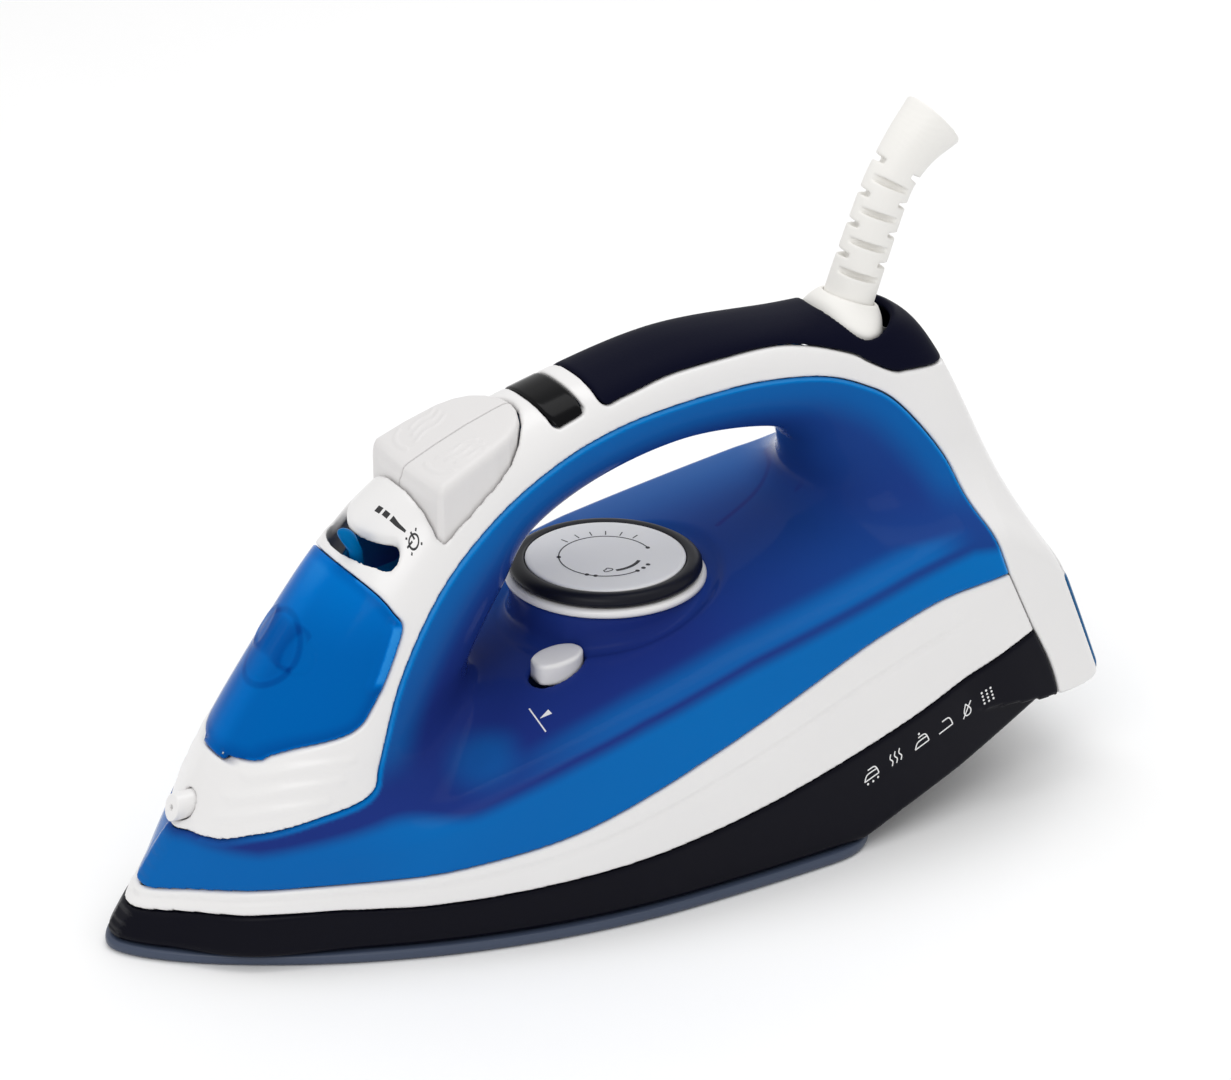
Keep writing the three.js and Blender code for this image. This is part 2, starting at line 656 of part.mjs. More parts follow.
function chamberCover() {
  const holes = [[VALVE_X, 0, 2], [BURST_X, BURST_Y, 2.2], [CLEAN_X, CLEAN_Y, 2.2]];
  const bores = CHAMBER_SCREWS.map(([x, y]) => [x, y, 1.7]);
  return plate(chamberOutline(0), CHAMBER_TOP + GAP, CHAMBER_TOP + 1.3, [...holes, ...bores]);
}

// ---- inner walls of the tank ----
function tankFloor() {
  const top = shifted(BAND_SEAM, -1).filter(([x]) => x > -122 && x < 88);
  const floor = room.intersect(sidePrism([...shifted(top, -2), ...top.slice().reverse()]));
  const bulkhead = room.intersect(sidePrism([[80, 60], [82, 60], [82, 84], [80, 84]]));
  const dialTower = rod(4.8, DIAL_X, 0, 40, 68.6, 12);
  const cleanTower = rod(3.8, CLEAN_X, CLEAN_Y, 30, 45.5, 10);
  return cut(
    join(floor, bulkhead, dialTower, cleanTower),
    rod(3.2, DIAL_X, 0, 20, 95),
    rod(2.6, VALVE_X, 0, 10, 60, 8),
    rod(2.2, CLEAN_X, CLEAN_Y, 10, 60, 8),
    rod(2.6, BURST_X, BURST_Y, 10, 60, 8),
  );
}

// The wall under the lid, which the water is poured through.
const FILLER_SLOPE = Math.atan2(43, 37);
const FILLER_CENTRE = [-84, 0, 70];
const FILLER_NORMAL = new THREE.Vector3(-Math.sin(FILLER_SLOPE), 0, Math.cos(FILLER_SLOPE));

function alongFiller(r, from, to, sides = 20) {
  const at = (d) => FILLER_CENTRE.map((v, k) => v + d * FILLER_NORMAL.getComponent(k));
  return bar(r, at(from), at(to), sides);
}

function fillerFunnel() {
  const [dx, dz] = [Math.cos(FILLER_SLOPE), Math.sin(FILLER_SLOPE)];
  const corner = (along, out) => [
    FILLER_CENTRE[0] + along * dx + out * FILLER_NORMAL.x,
    FILLER_CENTRE[2] + along * dz + out * FILLER_NORMAL.z,
  ];
  const wall = room.intersect(sidePrism([corner(-22, -2), corner(20, -2), corner(20, 0), corner(-22, 0)]));
  return cut(join(wall, alongFiller(10.5, -14, -1)), alongFiller(8.5, -20, 5));
}

function fillerSeal() {
  return cut(alongFiller(11.5, 0.3, 2.3), alongFiller(8.5, -1, 4));
}

// ---- pumps, one behind each button ----
function helix(x, y, z0, z1, r, wire, turns) {
  const points = [];
  for (let i = 0; i <= turns * 6; i++) {
    const angle = (Math.PI * i) / 3;
    points.push([x + r * Math.cos(angle), y + r * Math.sin(angle), z0 + ((z1 - z0) * i) / (turns * 6)]);
  }
  return tube(points, wire, 4, turns * 6);
}

const PISTON_TOP = 105;
const PUMP_TOP = 93;
const PUMP_BASE = 76;

function pumpBody(side) {
  const y = side * PUMP_Y;
  const cup = rod(5.6, PUMP_X, y, PUMP_BASE, PUMP_TOP, 12);
  const spout = rod(2.2, PUMP_X, y, PUMP_BASE - 5, PUMP_BASE + 1, 8);
  const hollow = rod(4.4, PUMP_X, y, PUMP_BASE + 2, 120, 12);
  return cut(join(cup, spout), hollow, rod(1.1, PUMP_X, y, 60, PUMP_BASE + 3, 6));
}

function pumpPiston(side) {
  const y = side * PUMP_Y;
  return join(rod(4, PUMP_X, y, 84, 87, 12), rod(1.6, PUMP_X, y, 86, PISTON_TOP, 8));
}

function pumpSpring(side) {
  return helix(PUMP_X, side * PUMP_Y, PUMP_TOP + 1, PISTON_TOP - 1, 3, 0.5, 4);
}

function burstHose() {
  return tube([[PUMP_X, PUMP_Y, PUMP_BASE - 6], [-50, 8.6, 62], [-57, 8.6, 53], [-56, 10, 42], [-42, 14, 34],
    [BURST_X, BURST_Y, 30], [BURST_X, BURST_Y, 24], [BURST_X, BURST_Y, CHAMBER_TOP + 1.7]], 1.6, 6, 18);
}

function sprayHose() {
  return tube([[PUMP_X, -PUMP_Y, PUMP_BASE - 6], [-51, -8.4, 62], [-62, -7.6, 53], [-80, -6, 47],
    [-94, -2.5, 39], [NOZZLE[0] + 10.8, 0, NOZZLE[2]]], 1.3, 6, 14);
}

// ---- fasteners ----
function screw(x, y, z, length) {
  const head = rod(2.9, x, y, z, z + 1.6, 8);
  return cut(join(head, rod(1.4, x, y, z - length, z + 0.2, 6)), box(x, y, z + 1.6, 4.4, 0.8, 1.4));
}

// ---- electrics ----
const BOARD_Z = 120.2;
const BOARD_THICK = 1.6;
const BOARD_SCREWS = [[14, 0], [56, 0]];

function shutoffBoard() {
  const outline = [[8, -10], [62, -10], [62, 10], [8, 10]];
  return plate(outline, BOARD_Z, BOARD_Z + BOARD_THICK, BOARD_SCREWS.map(([x, y]) => [x, y, 1.7]));
}

function boardBosses() {
  const bosses = BOARD_SCREWS.map(([x, y]) => rod(3.4, x, y, 112 - 0.08 * x, BOARD_Z - GAP, 8));
  const bores = BOARD_SCREWS.map(([x, y]) => rod(1.7, x, y, 114, BOARD_Z + 2, 6));
  return cut(join(...bosses), ...bores);
}

function thermostat() {
  return join(
    rod(8.2, DIAL_X, 0, 12.4, 19, 12),
    box(DIAL_X + 7, 0, 17, 20, 6, 1.2),
    rod(4.2, DIAL_X, 0, 18, 25.6, 10),
  );
}

function powerLead(side) {
  return tube([[98, side * 7, 77.6], [96, side * 9, 62], [80, side * 13, 44], [62, side * 16, 38],
    [56, side * 16, 30.7]], 1.2, 6, 14);
}

// ---- the cord guard ----
// Each row is [height along the swivel axis, how far the sleeve bends to the rear, its lean, its radius].
const GUARD_ROWS = [[-5, 0, 0, 7.1], [4, 0, 0, 7.1], [18, 0, 0, 7], [38, 0.4, 0.05, 6.75],
  [46, 1.6, 0.2, 6.85], [54, 4.4, 0.42, 7.7], [61.5, 8.6, 0.55, 9.2]];
const GUARD_FACE = 30 * (Math.PI / 180); // how far the slotted faces are turned from -Y towards -X
const GUARD_SLOTS = 4;
const GUARD_SLOT_PITCH = 8.6;
const GUARD_FIRST_SLOT = 16.1;

// overrun carries both ends on, along their own directions.
function guardSleeve(radiusOf, overrun = 0) {
  return loft(GUARD_ROWS.map(([h, bend, lean, r], i) => {
    const [x, , z] = guardPoint(h);
    const angle = GUARD_LEAN + lean;
    const past = i === 0 ? -overrun : i === GUARD_ROWS.length - 1 ? overrun : 0;
    const cx = x + bend * GUARD_AXIS.z + past * Math.sin(angle);
    const cz = z - bend * GUARD_AXIS.x + past * Math.cos(angle);
    const ring = circle(0, 0, radiusOf(r), 12);
    return ring.map(([c, s]) => [cx + c * Math.cos(angle), s, cz - c * Math.sin(angle)]);
  }));
}

// Slots in pairs, on two opposite faces at one height and on the other two at the next.
function guardSlots() {
  const turn = new THREE.Matrix4().makeRotationY(GUARD_LEAN);
  const slots = [];
  for (let i = 0; i < 2 * GUARD_SLOTS; i++) {
    const h = GUARD_FIRST_SLOT + (i * GUARD_SLOT_PITCH) / 2;
    const facing = -GUARD_FACE + (i % 2 ? 0 : Math.PI / 2);
    for (const side of [-1, 1]) {
      const slot = new THREE.BoxGeometry(6, 16, 1.5).translate(side * 7.2, 0, h);
      slot.rotateZ(facing).applyMatrix4(turn).translate(GUARD_X, 0, GUARD_Z);
      slots.push(solidOf(slot));
    }
  }
  return slots;
}

function cordGuard() {
  const outside = guardSleeve((r) => r);
  const bore = guardSleeve((r) => r - 3.6, 4);
  return cut(outside, bore, ...guardSlots());
}

// ---- the dial ----
function dialKnob() {
  return turned([[0, 0], [25.4, 0], [26.2, 1.2], [25.8, 2.6], [23.4, 3.4], [22, 3.4], [22, 2.7], [0, 2.7]],
    DIAL_X, 0, DIAL_TOP_Z - 3.4, 28);
}

function dialBaseRing() {
  return cut(rod(27.4, DIAL_X, 0, 71.8, 73.9, 24), rod(20, DIAL_X, 0, 70, 80, 16));
}

// ---- the whole iron ----
addPiece("soleplate", plate(soleOutline(0), 0, SOLE_THICK, steamHoles()), SOLE_BLUE);
addPiece("heater_casting", heaterCasting(), ALUMINIUM);
addPiece("heating_element", heatingElement(), STEEL);
addPiece("chamber_cover", chamberCover(), STEEL);
CHAMBER_SCREWS.forEach(([x, y], i) => {
  addPiece("chamber_screw_" + (i + 1), screw(x, y, CHAMBER_TOP + 1.6, 7), STEEL);
});
addPiece("heat_shield", shellPiece(SKIRT_REGION), BLACK);
addPiece("lower_band", shellPiece(BAND_REGION), WHITE);
addPiece("water_tank", join(waterTank(), boardBosses()), TANK_BLUE);
addPiece("tank_floor", tankFloor(), NYLON);
addPiece("upper_frame", upperFrame(), WHITE);
addPiece("handle_grip", handleGrip(), NAVY);
addPiece("indicator_window", indicatorWindow(), GLOSS_BLACK);
addPiece("indicator_lamp", rod(2.4, -16, 0, 118, 125.5, 10), BRASS);
addPiece("rear_cover", rearCover(), WHITE);
addPiece("heel_plate", heelPlate(), HEEL_BLUE);

addPiece("filler_lid", fillerLid(), LID_BLUE);
addPiece("lid_hinge_pin", lidChannel(0.8, 9), STEEL);
addPiece("filler_funnel", fillerFunnel(), NYLON);
addPiece("filler_seal", fillerSeal(), RUBBER);

addPiece("spray_nozzle", sprayNozzle(), WHITE);
addPiece("spray_hose", sprayHose(), RUBBER);
addPiece("burst_hose", burstHose(), RUBBER);
for (const [name, side] of [["spray", -1], ["burst", 1]]) {
  addPiece(name + "_button", buttonSolid(side), WHITE);
  addPiece(name + "_piston", pumpPiston(side), NYLON);
  addPiece(name + "_pump", pumpBody(side), NYLON);
  addPiece(name + "_spring", pumpSpring(side), STEEL);
}

addPiece("steam_lever", steamLever(), LID_BLUE);
addPiece("valve_stem", join(rod(2, VALVE_X, 0, 22, 86.7, 10), rod(1.2, VALVE_X, 0, 17.4, 22.5, 8)), STEEL);
const valveSeat = cut(rod(4.4, VALVE_X, 0, CHAMBER_TOP + 1.6, 20.5), rod(1.6, VALVE_X, 0, 10, 30, 8));
addPiece("valve_seat", valveSeat, BRASS);

addPiece("dial_base_ring", dialBaseRing(), WHITE);
addPiece("dial_knob", dialKnob(), BLACK);
addPiece("dial_plate", rod(21.6, DIAL_X, 0, DIAL_TOP_Z - 0.4, DIAL_TOP_Z + 0.2, 28), SILVER);
addPiece("dial_shaft", rod(2.7, DIAL_X, 0, 26, DIAL_TOP_Z - 3.8, 10), NYLON);
addPiece("thermostat", thermostat(), CERAMIC);
addPiece("thermal_fuse", bar(2.6, [38, -9, 13.2], [38, 9, 13.2], 10), CERAMIC);

addPiece("self_clean_button", plate(cleanOutline(0), 57, 64), WHITE);
addPiece("self_clean_rod", rod(1.7, CLEAN_X, CLEAN_Y, 17.5, 56.6, 8), NYLON);
addPiece("self_clean_spring", helix(CLEAN_X, CLEAN_Y, 46.5, 56, 2.9, 0.45, 3), STEEL);

addPiece("terminal_block", box(101, 0, 86, 12, 26, 16), CERAMIC);
addPiece("shutoff_board", shutoffBoard(), GREEN);
addPiece("board_relay", box(40, 0, 126.6, 14, 11, 8.8), BLACK);
BOARD_SCREWS.forEach(([x, y], i) => {
  addPiece("board_screw_" + (i + 1), screw(x, y, BOARD_Z + BOARD_THICK + GAP, 7), STEEL);
});
addPiece("live_lead", powerLead(1), RUBBER);
addPiece("neutral_lead", powerLead(-1), RUBBER);

addPiece("guard_socket", guardSocket(), CREAM);
addPiece("cord_guard", cordGuard(), CREAM);
addPiece("cord_clamp", box(88, 0, 110, 10, 16, 5), NYLON);

export default iron;
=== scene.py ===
import math

import bpy
import numpy as np
import openvdb as vdb
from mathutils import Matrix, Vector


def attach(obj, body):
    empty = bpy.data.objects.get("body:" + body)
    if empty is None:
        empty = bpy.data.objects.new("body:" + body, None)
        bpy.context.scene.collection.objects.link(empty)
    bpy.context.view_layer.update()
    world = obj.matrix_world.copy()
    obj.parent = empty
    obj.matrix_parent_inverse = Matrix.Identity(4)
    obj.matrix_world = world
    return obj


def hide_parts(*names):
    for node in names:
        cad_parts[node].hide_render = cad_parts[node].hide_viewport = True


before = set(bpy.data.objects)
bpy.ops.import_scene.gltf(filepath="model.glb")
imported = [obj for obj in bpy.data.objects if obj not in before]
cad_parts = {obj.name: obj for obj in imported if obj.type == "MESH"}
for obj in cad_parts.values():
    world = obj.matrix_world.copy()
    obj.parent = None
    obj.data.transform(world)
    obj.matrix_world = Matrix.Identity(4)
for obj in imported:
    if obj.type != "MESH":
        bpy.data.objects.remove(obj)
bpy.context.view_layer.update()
MM = 0.001


# ---------------------------------------------------------------- fields
# Every moulded piece is the zero surface of a distance-like field in millimetres,
# negative inside, so that fillets and rolled rims come from smooth minimum and maximum.
def smax(a, b, k):
    h = np.clip(0.5 + 0.5 * (a - b) / k, 0, 1)
    return b * (1 - h) + a * h + k * h * (1 - h)


def smin(a, b, k):
    return -smax(-a, -b, k)


def smooth(e0, e1, v):
    """0 at e0 to 1 at e1, eased; e0 may be the larger."""
    t = np.clip((v - e0) / (e1 - e0), 0, 1)
    return t * t * (3 - 2 * t)


def spline(points, steps=8, closed=False):
    """Catmull-Rom through rows of numbers."""
    p = np.array(points, float)
    if closed:
        p = np.vstack([p[-1], p, p[0], p[1]])
    else:
        p = np.vstack([2 * p[0] - p[1], p, 2 * p[-1] - p[-2]])
    m = len(p) - 3
    t = np.linspace(0, m, m * steps + 1)
    i = np.minimum(t.astype(int), m - 1)
    f = (t - i)[:, None]
    a, b, c, d = p[i], p[i + 1], p[i + 2], p[i + 3]
    out = 0.5 * (2 * b + (c - a) * f + (2 * a - 5 * b + 4 * c - d) * f**2 + (3 * b - a - 3 * c + d) * f**3)
    return out[:-1] if closed else out


def polygon_sdf(poly, u, v):
    """Signed distance to a closed polygon, negative inside, on arrays u and v."""
    poly = np.asarray(poly, float)
    best = np.full(np.broadcast(u, v).shape, 1e9)
    inside = np.zeros(best.shape, bool)
    for (ax, ay), (bx, by) in zip(poly, np.roll(poly, -1, 0)):
        ex, ey = bx - ax, by - ay
        length2 = ex * ex + ey * ey
        if length2 < 1e-12:
            continue
        t = np.clip(((u - ax) * ex + (v - ay) * ey) / length2, 0, 1)
        best = np.minimum(best, (u - ax - t * ex) ** 2 + (v - ay - t * ey) ** 2)
        if ay != by:
            inside ^= ((ay > v) != (by > v)) & (u < ex * (v - ay) / ey + ax)
    return np.where(inside, -1, 1) * np.sqrt(best)


def line_distance(line, u, v):
    """Distance to an open polyline."""
    line = np.asarray(line, float)
    best = np.full(np.broadcast(u, v).shape, 1e9)
    for (ax, ay), (bx, by) in zip(line[:-1], line[1:]):
        ex, ey = bx - ax, by - ay
        t = np.clip(((u - ax) * ex + (v - ay) * ey) / max(ex * ex + ey * ey, 1e-12), 0, 1)
        best = np.minimum(best, (u - ax - t * ex) ** 2 + (v - ay - t * ey) ** 2)
    return np.sqrt(best)


class Box:
    """A regular grid: x, y and z axes that broadcast against each other."""

    def __init__(self, lo, hi, h):
        self.h = h
        axes = [np.arange(a, b + h * 0.5, h).astype(np.float32) for a, b in zip(lo, hi)]
        self.lo = [a[0] for a in axes]
        self.x, self.y, self.z = axes[0][:, None, None], axes[1][None, :, None], axes[2][None, None, :]
        self.shape = tuple(len(a) for a in axes)


# ---------------------------------------------------------------- the iron's outer form
HEEL_X = 144.6
HEEL_REST_Z = 27  # the heel's lowest corner
REAR_SLOPE = 0.4  # the rear face leans forward by this much per mm of height
REAR_UPRIGHT_Z = 30.5  # below this height the rear face stands upright, so that its corner stays inside the CAD
REAR_NORMAL_X = 0.928  # turns a distance along X into one square to the rear face
WALL = 2.4
ARCH = [
    (-132, 5, -92, -34, 34, 1.8), (-124, 26, -80, -12, 33, 1.8), (-112.5, 49, -66, 15, 31, 1.8),
    (-95.5, 73, -51, 42, 28.5, 1.9), (-77, 96, -38, 67, 25.5, 2.0), (-60, 110.5, -30, 81, 23, 2.1),
    (-38, 123, -21.5, 94.6, 20, 2.2), (-10, 132, -1, 104.9, 17.5, 2.4), (25, 139.2, 26, 109.8, 16.5, 2.4),
    (62, 138, 52, 107.6, 17, 2.4), (92, 135.5, 62, 101.8, 19, 2.5), (107, 122.5, 67, 93, 23, 2.6),
    (118, 97, 76, 79, 30, 2.8), (131, 65, 84, 58, 38, 3.0), (146, 25, 98, 30, 44, 3.0),
]
NOSE_LINE = ([0, 5, 9, 40, 60, 120], [-143.2, -142.2, -139.5, -117, -100, -50])
RIDGE = ([-144, -128, -110, -80, -60, -32, -12, 21, 53, 75, 95, 108, 125, 150],
         [20, 27, 27, 33, 39, 50, 57, 66, 72.5, 77, 80, 78, 66, 50])
UNDER = ([-150, 56, 62, 69, 89, 110, 122, 150], [3.4, 3.4, 5.5, 8, 14.5, 22.5, 27, 27])
DECK_CROWN = 7
DENSE = spline(ARCH, 43)
_t = np.linspace(0, 1, 400)
PLAN_X = 3 * (1 - _t) * _t**2 * 0.444 + _t**3
PLAN_Y = 3 * (1 - _t) ** 2 * _t * 0.241 + 3 * (1 - _t) * _t**2 + _t**3


def arch_maps(x, z):
    """For each XZ point: place across the arch (-1 inner, 1 outer), half width, half depth, exponent."""
    shape = np.broadcast(x, z).shape
    x, z = np.broadcast_to(x, shape).ravel(), np.broadcast_to(z, shape).ravel()
    outer, inner = DENSE[:, 0:2], DENSE[:, 2:4]
    d = outer - inner
    depth = np.linalg.norm(d, axis=1) / 2
    rows = np.stack([DENSE[:, 4], depth, DENSE[:, 5]])
    found = np.empty((4, len(x)))
    for a in range(0, len(x), 20000):
        part = slice(a, a + 20000)
        px, pz = x[part, None] - inner[:, 0], z[part, None] - inner[:, 1]
        cross = d[:, 0] * pz - d[:, 1] * px
        lam = (px * d[:, 0] + pz * d[:, 1]) / (d**2).sum(1)
        mid = 0.5 * (lam[:, 1:] + lam[:, :-1])
        change = (cross[:, :-1] * cross[:, 1:] <= 0) & (mid > -0.6) & (mid < 1.8)
        score = np.where(change, np.abs(mid - 0.5), 99.0)
        k = score.argmin(1)
        r = np.arange(len(k))
        c0, c1 = cross[r, k], cross[r, k + 1]
        f = np.clip(c0 / (c0 - c1 + 1e-30), 0, 1)
        ok = score[r, k] < 90
        found[0, part] = np.where(ok, 2 * (lam[r, k] * (1 - f) + lam[r, k + 1] * f) - 1, 9.0)
        found[1:, part] = np.where(ok, rows[:, k] * (1 - f) + rows[:, k + 1] * f, [[10.0], [10.0], [2.0]])
    return found.reshape(4, *shape)


def hull_width(x, z):
    """Half the width of the lower body: a pointed bow ahead of X = 0, a slow taper behind it."""
    nose = np.interp(z, *NOSE_LINE)
    ahead = np.interp((x - nose) / (0 - nose), PLAN_X, PLAN_Y)
    ahead = np.where(x < nose, -1, ahead)
    aft = 1 - 0.283 * np.clip(x / HEEL_X, 0, 1.2) ** 2.2
    return (58 - 5.5 * np.clip(z / 70, 0, 2) ** 1.5) * np.where(x < 0, ahead, aft)


def rear_x(z):
    """Where the rear face is at height z."""
    return HEEL_X - REAR_SLOPE * (np.maximum(z, REAR_UPRIGHT_Z) - HEEL_REST_Z)


def body(g):
    """The outer form on the grid g."""
    half = np.abs(g.y)
    n, width, depth, power = arch_maps(g.x, g.z)
    rho = (np.abs(n) ** power + (half / width) ** power) ** (1 / power)
    arch = (rho - 1) * np.sqrt(depth * width)
    w = hull_width(g.x, g.z)
    crest = np.interp(g.x, *RIDGE) + DECK_CROWN * (1 - (half / np.maximum(w, 5)) ** 2)
    hull = smax(0.9 * (half - w), 0.95 * (g.z - crest), 5.0)
    f = smin(hull, arch, 4 + 12 * smooth(-115, -75, g.x))
    f = smax(f, REAR_NORMAL_X * (g.x - rear_x(g.z)), 6.0)
    f = smax(f, np.interp(g.x, *UNDER) - g.z, 2.0).astype(np.float32)
    steep = np.sqrt(sum(d**2 for d in np.gradient(f, g.h)))
    return f / np.clip(steep, 0.6, 8)


# ---------------------------------------------------------------- seams, as XZ curves
SKIRT_SEAM = spline([(-152, 9), (-134, 11.7), (-117, 14), (-98, 14.6), (-72, 13.6), (-33, 15.5), (-4, 18.3),
                     (27, 23.5), (68, 33.5), (89, 40), (115, 49)])
BAND_SEAM = spline([(-152, 13), (-132, 16.5), (-116, 20), (-98, 21.3), (-76, 21.4), (-59, 23.2), (-32, 28.3),
                    (-3, 38), (20, 46), (51, 57.5), (68, 62.5), (86, 66), (107, 67.2)])
FRAME_SEAM = spline([(-152, 30), (-122, 30.5), (-110, 34), (-96, 38), (-84, 41), (-79, 44), (-77, 50), (-69, 71),
                     (-55, 92), (-37, 107), (-17, 117), (2, 122.5), (21, 125), (43, 126), (63, 124), (76, 119.5),
                     (86, 113), (97, 98), (101, 85), (107, 67.2)])
HEEL_SEAM = spline([(107, 67.2), (111, 58), (115, 49)])
HEEL_SEAM_LOWER = spline([(115, 49), (120, 39), (123, 30), (124.5, 20)])
GRIP_SEAM = spline([(-5, 145), (-3.7, 134), (-1.8, 128.6), (5, 129.8), (21, 133), (46, 134), (60, 132.5),
                    (73, 128.5), (79, 125), (86, 121.5), (93, 121), (130, 117.5)])
WINDOW = [(-28, 150), (-20.6, 134), (-18.1, 128.8), (-16.9, 125.5), (-15.6, 125), (-8.2, 127.3), (-7.4, 128.6),
          (-8.8, 132.5), (-13, 150)]
LID = np.vstack([spline([(-125, 49.6), (-107, 50.9), (-101.5, 53.4), (-96, 55.6), (-85.6, 58.4), (-81, 60.7),
                         (-77.6, 64.6), (-74, 70.2), (-69.4, 79), (-67, 84.5), (-68, 87), (-72, 93), (-84, 104)]),
                 [(-125, 104)]])
HEEL_PLATE_TOP, HEEL_PLATE_THICK = 60, 3.2
REAR_STEP_Z = 61  # the rear cover's lower edge
COVER_THICK = 2.8


def join(*parts):
    return np.vstack([np.asarray(p, float) for p in parts])


FRAME_REGION = join(FRAME_SEAM, HEEL_SEAM[1:], HEEL_SEAM_LOWER[1:], [(200, 20), (200, 200), (-152, 200)])
TANK_REGION = join(FRAME_SEAM, BAND_SEAM[::-1][1:])
BAND_REGION = join(BAND_SEAM, HEEL_SEAM[1:-1], SKIRT_SEAM[::-1])
SKIRT_REGION = join(SKIRT_SEAM, HEEL_SEAM_LOWER[1:], [(124, -20), (-152, -20)])
GRIP_REGION = join(GRIP_SEAM, [(130, 200), (-5, 200)])
COVER_REGION = [(rear_x(REAR_STEP_Z) - COVER_THICK, REAR_STEP_Z), (rear_x(150) - COVER_THICK, 150), (200, 150),
                (200, REAR_STEP_Z)]
HEEL_REGION = [(HEEL_X + 10.8 - HEEL_PLATE_THICK, 0), (200, 0), (200, HEEL_PLATE_TOP),
               (rear_x(HEEL_PLATE_TOP) - HEEL_PLATE_THICK, HEEL_PLATE_TOP)]
SEAM = 0.15  # half of the gap between two shells


# ---------------------------------------------------------------- materials
def shader(name, color, rough, **inputs):
    m = bpy.data.materials.new(name)
    m.use_nodes = True
    nt = m.node_tree
    b = nt.nodes["Principled BSDF"]
    b.inputs["Base Color"].default_value = (*color, 1)
    b.inputs["Roughness"].default_value = rough
    for key, value in inputs.items():
        b.inputs[key.replace("_", " ")].default_value = value
    return m, nt, b


def detail(nt, b, color, rough, tone=0.04, rough_spread=0.06, bump=0.02, scale=900.0):
    """Moulded texture: a fine grain bump, and slow drifts of tone and of roughness."""
    n, l = nt.nodes, nt.links
    where = n.new("ShaderNodeTexCoord")
    slow = n.new("ShaderNodeTexNoise")
    slow.inputs["Scale"].default_value = 22
    slow.inputs["Detail"].default_value = 3
    l.new(where.outputs["Object"], slow.inputs["Vector"])
    ramp = n.new("ShaderNodeMapRange")
    ramp.inputs["To Min"].default_value = rough - rough_spread
    ramp.inputs["To Max"].default_value = rough + rough_spread
    l.new(slow.outputs["Fac"], ramp.inputs["Value"])
    l.new(ramp.outputs["Result"], b.inputs["Roughness"])
    if tone:
        mix = n.new("ShaderNodeMix")
        mix.data_type = "RGBA"
        mix.inputs["A"].default_value = (*[c * (1 - tone) for c in color], 1)
        mix.inputs["B"].default_value = (*[min(c * (1 + tone), 1) for c in color], 1)
        l.new(slow.outputs["Fac"], mix.inputs["Factor"])
        l.new(mix.outputs["Result"], b.inputs["Base Color"])
    if bump:
        fine = n.new("ShaderNodeTexNoise")
        fine.inputs["Scale"].default_value = scale
        fine.inputs["Detail"].default_value = 4
        l.new(where.outputs["Object"], fine.inputs["Vector"])
        bumped = n.new("ShaderNodeBump")
        bumped.inputs["Strength"].default_value = bump
        bumped.inputs["Distance"].default_value = 0.0004
        l.new(fine.outputs["Fac"], bumped.inputs["Height"])
        l.new(bumped.outputs["Normal"], b.inputs["Normal"])


def plastic(name, color, rough, tone=0.03, bump=0.02, scale=900.0, **inputs):
    m, nt, b = shader(name, color, rough, **inputs)
    detail(nt, b, color, rough, tone, min(0.05, rough * 0.4), bump, scale)
    return m


WHITE = plastic("white_moulding", (0.80, 0.79, 0.785), 0.30, bump=0.015, Coat_Weight=0.15, Coat_Roughness=0.1)
BUTTON_WHITE = plastic("button_moulding", (0.72, 0.705, 0.70), 0.42, bump=0.05, scale=1400)
SKIRT = plastic("skirt_black", (0.002, 0.002, 0.006), 0.36, bump=0.03, Specular_IOR_Level=0.10)
GRIP = plastic("grip_soft_touch", (0.003, 0.0035, 0.013), 0.5, tone=0.08, bump=0.10, scale=1800,
               Specular_IOR_Level=0.04)
PIANO = plastic("window_gloss", (0.0012, 0.0012, 0.0018), 0.16, bump=0.0, Specular_IOR_Level=0.12)
HEEL = plastic("heel_blue", (0.0, 0.095, 0.25), 0.38, Specular_IOR_Level=0.2)
SOLE = plastic("sole_enamel", (0.048, 0.064, 0.105), 0.36, tone=0.06, bump=0.03, Specular_IOR_Level=0.35)
CREAM = plastic("guard_cream", (0.86, 0.845, 0.81), 0.5, bump=0.04)
KNOB = plastic("knob_black", (0.004, 0.0045, 0.010), 0.40, bump=0.06, scale=1500, Specular_IOR_Level=0.2)
SILVER = plastic("dial_silver", (0.85, 0.85, 0.85), 0.42, tone=0.03, bump=0.06, scale=2600, Metallic=0.05)
INK = plastic("print_black", (0.012, 0.012, 0.014), 0.55, bump=0.0)
INK_WHITE = plastic("print_white", (0.82, 0.82, 0.82), 0.5, bump=0.0)
NYLON = plastic("inner_nylon", (0.62, 0.63, 0.66), 0.5)
STEEL = plastic("steel", (0.5, 0.51, 0.52), 0.3, bump=0.05, Metallic=1.0)
ALLOY = plastic("cast_alloy", (0.35, 0.36, 0.37), 0.5, bump=0.3, scale=700, Metallic=0.9)
BRASS = plastic("brass", (0.5, 0.34, 0.11), 0.35, Metallic=1.0)
SILICONE = plastic("silicone", (0.35, 0.36, 0.38), 0.6)
BOARD = plastic("board_green", (0.02, 0.12, 0.04), 0.45)
CERAMIC = plastic("ceramic", (0.7, 0.66, 0.58), 0.7, bump=0.1)


TONE_DRIFT = 0.07  # how far a slow cloud moves the tone of the clear plastic


